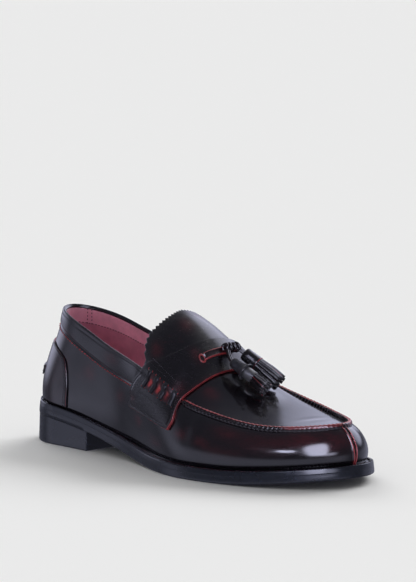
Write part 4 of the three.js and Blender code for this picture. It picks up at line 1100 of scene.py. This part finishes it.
def build_tassel(name, cap_look):
    """A rolled, pleated cap with a flared rim, a core where the look has one, and rings of cut strands."""
    start, axis, up = tassel_axis(name)
    side, lift = axis_frame(axis, up)
    parts = Parts()
    turn = np.arange(96) * 2 * math.pi / 96
    pleat = 0.5 + 0.5 * np.cos(turn * 24)
    wrap = 0.25 * (turn / (2 * math.pi))
    # distance along the axis, radius, share of the pleats
    profile = cap_look["profile"]
    rings, raws = [], []
    for d, r, folds, red in profile:
        radius = r * (1 - 0.07 * folds * pleat) + wrap * (1 - folds) * 0.8
        ring = start + axis * d + (side * np.cos(turn)[:, None] + lift * 0.88 * np.sin(turn)[:, None]) * radius[:, None]
        rings.append(ring)
        raws.append(np.full(96, red))
    cap = cap_look["slot"]
    parts.grid(np.array(rings)[:, ::-1], True, cap, raw=np.array(raws), rub=0.0)
    parts.add(rings[0], [tuple(range(96))], cap, raw=0.0, rub=0.0)
    rng = np.random.default_rng(11 if name == "lateral" else 23)
    if cap_look["core"]:
        wide, reach = cap_look["core"]
        rings = [start + axis * d + (side * np.cos(turn)[:, None] + lift * 0.88 * np.sin(turn)[:, None]) * r
                 for d, r in ((10, wide * 0.96), (reach - 0.6, wide), (reach, wide * 0.95), (reach, wide * 0.6))]
        parts.grid(np.array(rings)[:, ::-1], True, 1, raw=0.0, rub=0.0)
    root = cap_look["root"]
    for ring_r, count, length, lean in cap_look["strands"]:
        for k in range(count):
            angle = 2 * math.pi * (k + rng.uniform(-0.25, 0.25)) / count
            ray = side * math.cos(angle) + lift * 0.88 * math.sin(angle)
            flat = unit(np.cross(axis, ray))
            twist = rng.uniform(-0.5, 0.5)
            run = (12.1 + length) * rng.uniform(0.95, 1.02) - root
            sway = flat * rng.uniform(-0.8, 0.8)
            t = np.linspace(0, 1, 8)
            centre = (start + axis * (root + run * t)[:, None]
                      + ray * (ring_r + lean * smooth(t * 1.2) + rng.uniform(-0.4, 0.4) * t ** 2)[:, None]
                      + sway * (t ** 2)[:, None] + np.array([0, 0, -1.1]) * (t ** 2)[:, None])
            w_vec = flat * math.cos(twist) + ray * math.sin(twist)
            h_vec = np.cross(axis, w_vec)
            wide = cap_look["strand_width"] * (1 - 0.15 * t) * rng.uniform(0.85, 1.1)
            thick = 0.55
            corners = [(-1, 0.3), (-0.92, 1), (0.92, 1), (1, 0.3), (1, -0.3), (0.92, -1), (-0.92, -1), (-1, -0.3)]
            strand = np.stack([centre + w_vec * (x * wide / 2)[:, None] + h_vec * (y * thick)
                               for x, y in corners], 1)
            strand = clear_of_apron(strand, 0.35)
            red = np.zeros(strand.shape[:2])
            if rng.uniform() < cap_look["red_share"]:
                red[:, [0, 7]] = 0.9
            if rng.uniform() < cap_look["red_share"]:
                red[:, [3, 4]] = 0.9
            red[-1] = 0.3
            parts.tube(strand, 0, False, raw=red, rub=0.05)
    # Slot 2 is the lighter cap leather: painted light on the lateral cap.
    looks = [TASSEL_LEATHER, GREY_LEATHER, LIT_CAP_LEATHER]
    return parts.build("tassel_" + name + "_leather", looks, stands_for=("tassel_" + name,))


CAP_LATERAL = dict(
    profile=((0.0, 2.0, 0.3, 0), (0.5, 3.0, 0.6, 0), (1.6, 3.9, 1, 0), (4.5, 4.2, 1, 0), (8.0, 4.5, 1, 0),
             (10.0, 5.0, 1, 0), (11.2, 6.0, 0.6, 0), (11.9, 6.6, 0.2, 0), (12.5, 6.9, 0, 0.3), (12.9, 6.7, 0, 0.3),
             (12.5, 6.0, 0, 0), (11.5, 4.4, 0, 0)),
    core=(4.6, 20.5),
    strands=((1.4, 6, 19.5, 0.6), (2.8, 10, 20.0, 1.2), (3.9, 14, 19.0, 1.4)),
    root=19.0, strand_width=1.7, red_share=0.15, slot=2)
CAP_MEDIAL = dict(
    profile=((0.0, 2.6, 0, 0), (0.3, 4.4, 0, 0.2), (0.9, 5.0, 0, 0), (4.0, 5.2, 0.1, 0), (8.0, 5.35, 0.1, 0),
             (11.2, 5.5, 0, 0.0), (11.8, 5.65, 0, 0.8), (12.1, 5.3, 0, 0.8), (11.6, 4.8, 0, 0), (10.6, 4.4, 0, 0)),
    core=None,
    strands=((1.6, 5, 19.0, 0.8), (3.0, 8, 19.5, 1.3), (4.4, 12, 19.0, 1.5)),
    root=9.0, strand_width=2.5, red_share=0.5, slot=0)


def round_bar(parts, path, radius, up, sides=12, slot=0, squash=0.88, **values):
    path = np.asarray(path, float)
    _, side, lift = frames_along(path, up)
    turn = np.arange(sides) * 2 * math.pi / sides
    radius = np.broadcast_to(radius, (len(path),))
    ring = side[:, None] * np.cos(turn)[None, :, None] + lift[:, None] * squash * np.sin(turn)[None, :, None]
    parts.tube(path[:, None] + ring * radius[:, None, None], slot, **values)


def bezier(a, b, c, d, n=16):
    t = np.linspace(0, 1, n)[:, None]
    return a * (1 - t) ** 3 + 3 * b * t * (1 - t) ** 2 + 3 * c * t * t * (1 - t) + d * t ** 3


def build_tie():
    """The thong out of its red-rimmed hole, the knot, and the cords to the tassels."""
    parts = Parts()
    half = THONG_WIDTH / 2 / SHOE_LENGTH
    u = np.linspace(THONG["start"], THONG["end"], 40)
    # place across the strip, height, rawness
    profile = ((-1.0, 0.1, 0.9), (-1.0, 0.8, 1), (-0.86, 1.05, 0.8), (-0.6, 0.8, 0), (0, 0.55, 0), (0.6, 0.8, 0),
               (0.86, 1.05, 0.8), (1.0, 0.8, 1), (1.0, 0.1, 0.9))
    dip = smooth((u - THONG["start"]) / 0.05)
    rows, raws = [], []
    for d, h, red in profile:
        at = THONG["at"] + d * half * (0.72 + 0.28 * dip)
        rows.append(raised(at, u, strap_top(at, u) - GAP + THONG_THICKNESS * h * dip - 0.4 * (1 - dip)))
        raws.append(np.full(len(u), red))
    parts.grid(np.array(rows)[::-1], False, 0, raw=np.array(raws)[::-1], rub=0.3)
    up = form_normal(np.array(KNOT["at"]), np.array(KNOT["u"]))
    knot = raised(np.array(KNOT["at"]), np.array(KNOT["u"]), strap_top(KNOT["at"], KNOT["u"]) + KNOT_RADIUS)
    level = np.array([0.15, 1.0, 0.0]) / math.hypot(0.15, 1.0)
    front = unit(np.cross(up, level))
    for k, offset in enumerate((-4.6, -1.6, 1.5, 4.5)):
        centre = knot + level * offset
        t = np.linspace(0, 2 * math.pi, 28)
        wave = 0.5 * np.sin(t * 2 + k)
        loop = (centre + front * (np.cos(t) * (2.5 + 0.2 * (k % 2)))[:, None]
                + up * (np.sin(t) * 2.4 - 0.5)[:, None] + level * wave[:, None])
        round_bar(parts, loop, 1.25, level, 10, raw=0.12 if k % 2 else 0.35, rub=0.1)
    for name in TASSELS:
        start, axis, _ = tassel_axis(name)
        for shift in (-1.15, 1.15):
            side, _ = axis_frame(axis, up)
            begin = knot + level * (1.2 if name == "medial" else -2.0) + front * 1.5 + side * shift * 0.8
            stop = start + axis * 0.6 + side * shift * 0.7
            path = bezier(begin, begin + front * 3 + up * 0.8, stop - axis * 3.5, stop)
            round_bar(parts, path, 1.05, up, 10, raw=0.15, rub=0.1)
    parts.build("thong_and_knot", [TASSEL_LEATHER], stands_for=("tassel_tie",))
    ring = Parts()
    turn = np.linspace(0, 2 * math.pi, 40, endpoint=False)
    hole_u = THONG["start"] - 0.015
    # radius across in mm, height
    rows = []
    for r, h in ((2.9, 0.0), (2.7, 0.35), (2.2, 0.5), (1.8, 0.25), (1.6, -0.2)):
        at = THONG["at"] + r * np.cos(turn) / SHOE_LENGTH
        uu = hole_u + r * 0.8 * np.sin(turn) / 42
        rows.append(raised(at, uu, strap_lift(at, uu) + STRAP_THICKNESS + h))
    ring.grid(np.array(rows), True, 0, raw=1.0, rub=0.5)
    # The hole's bottom in the near-black: painted shade inside the hole.
    ring.add(rows[-1] + 0.0, [tuple(range(40))], 1, raw=0.0, rub=0.0)
    return ring.build("thong_hole_rim", [TASSEL_LEATHER, PAINTED_SHADE_HOLE])


def dress_insole():
    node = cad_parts["insole"]
    node.data.materials.clear()
    node.data.materials.append(LINING)


# Camera, floor and light

CAMERA_AZIMUTH = math.radians(47.2)
CAMERA_ELEVATION = math.radians(7.0)
CAMERA_DISTANCE = 2.230
LENS = 202.1
LOOK_AT = Vector(((150 - SHIFT) / 1000, 0, 0.040))
FRAMING = (0.0071, 0.0754)


def build_camera():
    sa, ca = math.sin(CAMERA_AZIMUTH), math.cos(CAMERA_AZIMUTH)
    se, ce = math.sin(CAMERA_ELEVATION), math.cos(CAMERA_ELEVATION)
    back = Vector((sa * ce, -ca * ce, se))
    right = Vector((ca, sa, 0))
    up = Vector((-sa * se, ca * se, ce))
    data = bpy.data.cameras.new("camera")
    data.lens = LENS
    data.sensor_width = 36
    data.clip_start = 0.1
    data.clip_end = 60
    camera = bpy.data.objects.new("camera", data)
    camera.location = LOOK_AT + right * FRAMING[0] + up * FRAMING[1] + back * CAMERA_DISTANCE
    camera.rotation_euler = (-back).to_track_quat("-Z", "Y").to_euler()
    bpy.context.scene.collection.objects.link(camera)
    bpy.context.scene.camera = camera


def build_floor():
    mesh = bpy.data.meshes.new("floor")
    far = 30.0
    mesh.from_pydata([(-far, -far, 0), (far, -far, 0), (far, far, 0), (-far, far, 0)], [], [(0, 1, 2, 3)])
    floor = bpy.data.objects.new("floor", mesh)
    bpy.context.scene.collection.objects.link(floor)
    material, tree, shader = make_material("floor_paper")
    shader.inputs["Base Color"].default_value = (0.90, 0.90, 0.90, 1)
    shader.inputs["Roughness"].default_value = 1.0
    shader.inputs["Specular IOR Level"].default_value = 0.0
    mesh.materials.append(material)
    floor.visible_glossy = False


# Studio panels that the leather reflects: azimuth, elevation, half width, half height and tilt in degrees,
# softness, brightness. Azimuth 0 is towards +X, 90 towards +Y.

PANELS = (
    (-72, 24, 5.5, 4, 0, 0.22, 9.5),
    (-42, 25, 14, 21, -8, 0.22, 6.7),
    (92, 29, 25, 18, -12, 0.32, 1.5),
    (-24, 5, 12, 5, 0, 0.7, 3.5),
    (127, 17, 12, 14, 0, 0.14, 0.60),
    (-145, -2, 11, 19, 0, 1.0, 0.34),
    (170, 12, 21, 13, 0, 0.5, 0.9),
    (90, -10, 32, 11, 0, 0.4, 0.2),
)
# The soft key lights from behind; the panels above show only to shiny surfaces
KEYS = (
    (100, 37, 20, 14, 0, 0.4, 6.4),
    (156, 34, 18, 12, 0, 0.4, 4.6),
)
ROOM_LIGHT = 0.368
MIRROR_ROOM = 0.12
MIRROR_FLOOR = 0.42


def panel(tree, place, azimuth, elevation, wide, tall, tilt, soft, bright):
    """Brightness of a rounded panel of light seen in a direction."""
    a, e, t = math.radians(azimuth), math.radians(elevation), math.radians(tilt)
    towards = Vector((math.cos(a) * math.cos(e), math.sin(a) * math.cos(e), math.sin(e)))
    level = Vector((math.sin(a), -math.cos(a), 0))
    rise = level.cross(towards)
    right = level * math.cos(t) + rise * math.sin(t)
    up = rise * math.cos(t) - level * math.sin(t)
    front, *sides = [add_node(tree, "ShaderNodeVectorMath", {"operation": "DOT_PRODUCT"}, i0=place, i1=v).outputs["Value"]
                     for v in (towards, right, up)]
    seen = math_node(tree, "GREATER_THAN", front, 0.05)
    front = math_node(tree, "MAXIMUM", front, 0.05)
    total = None
    for side, size in zip(sides, (wide, tall)):
        off = math_node(tree, "ABSOLUTE", math_node(tree, "DIVIDE", side, front), 0.0)
        off = math_node(tree, "DIVIDE", off, math.tan(math.radians(size)))
        off = math_node(tree, "POWER", off, 3.0)
        total = off if total is None else math_node(tree, "ADD", total, off)
    value = ramp(tree, math_node(tree, "POWER", total, 1 / 3), 1 - soft, 1 + soft, bright, 0.0)
    return math_node(tree, "MULTIPLY", value, seen)


def build_world():
    world = bpy.data.worlds.new("studio")
    bpy.context.scene.world = world
    world.use_nodes = True
    tree = world.node_tree
    tree.nodes.clear()
    place = add_node(tree, "ShaderNodeTexCoord").outputs["Generated"]
    height = add_node(tree, "ShaderNodeSeparateXYZ", Vector=place).outputs["Z"]
    floor = math_node(tree, "MULTIPLY", ramp(tree, height, -0.02, -0.22, 0.0, MIRROR_FLOOR),
                      ramp(tree, height, -0.62, -0.48, 0.0, 1.0))
    ahead = add_node(tree, "ShaderNodeVectorMath", {"operation": "DOT_PRODUCT"}, i0=place, i1=(0.5, -0.87, 0))
    floor = math_node(tree, "MULTIPLY", floor, ramp(tree, ahead.outputs["Value"], -0.15, 0.55))
    mirror = math_node(tree, "ADD", floor, MIRROR_ROOM)
    for values in PANELS:
        mirror = math_node(tree, "ADD", mirror, panel(tree, place, *values))
    soft = math_node(tree, "ADD", panel(tree, place, *KEYS[0]), ROOM_LIGHT)
    soft = math_node(tree, "ADD", panel(tree, place, *KEYS[1]), soft)
    room = add_node(tree, "ShaderNodeBackground", Color=(1.0, 1.0, 1.0, 1), Strength=soft)
    gloss = add_node(tree, "ShaderNodeBackground", Color=(0.93, 0.95, 1.24, 1), Strength=mirror)
    rays = add_node(tree, "ShaderNodeLightPath")
    mix = add_node(tree, "ShaderNodeMixShader", i0=rays.outputs["Is Glossy Ray"], i1=room.outputs[0],
                   i2=gloss.outputs[0])
    output = add_node(tree, "ShaderNodeOutputWorld")
    tree.links.new(mix.outputs[0], output.inputs["Surface"])


build_camera()
build_floor()
build_world()
bpy.context.scene.view_settings.view_transform = "Standard"
build_upper()
build_apron_seam()
build_toe_split()
build_strap()
build_tongue()
build_side_lace(-1, "woven_lace_lateral")
build_side_lace(1, "woven_lace_medial")
build_counter()
build_collar_stitching()
build_outsole()
build_welt()
build_heel()
build_tassel("lateral", CAP_LATERAL)
build_tassel("medial", CAP_MEDIAL)
build_tie()
dress_insole()
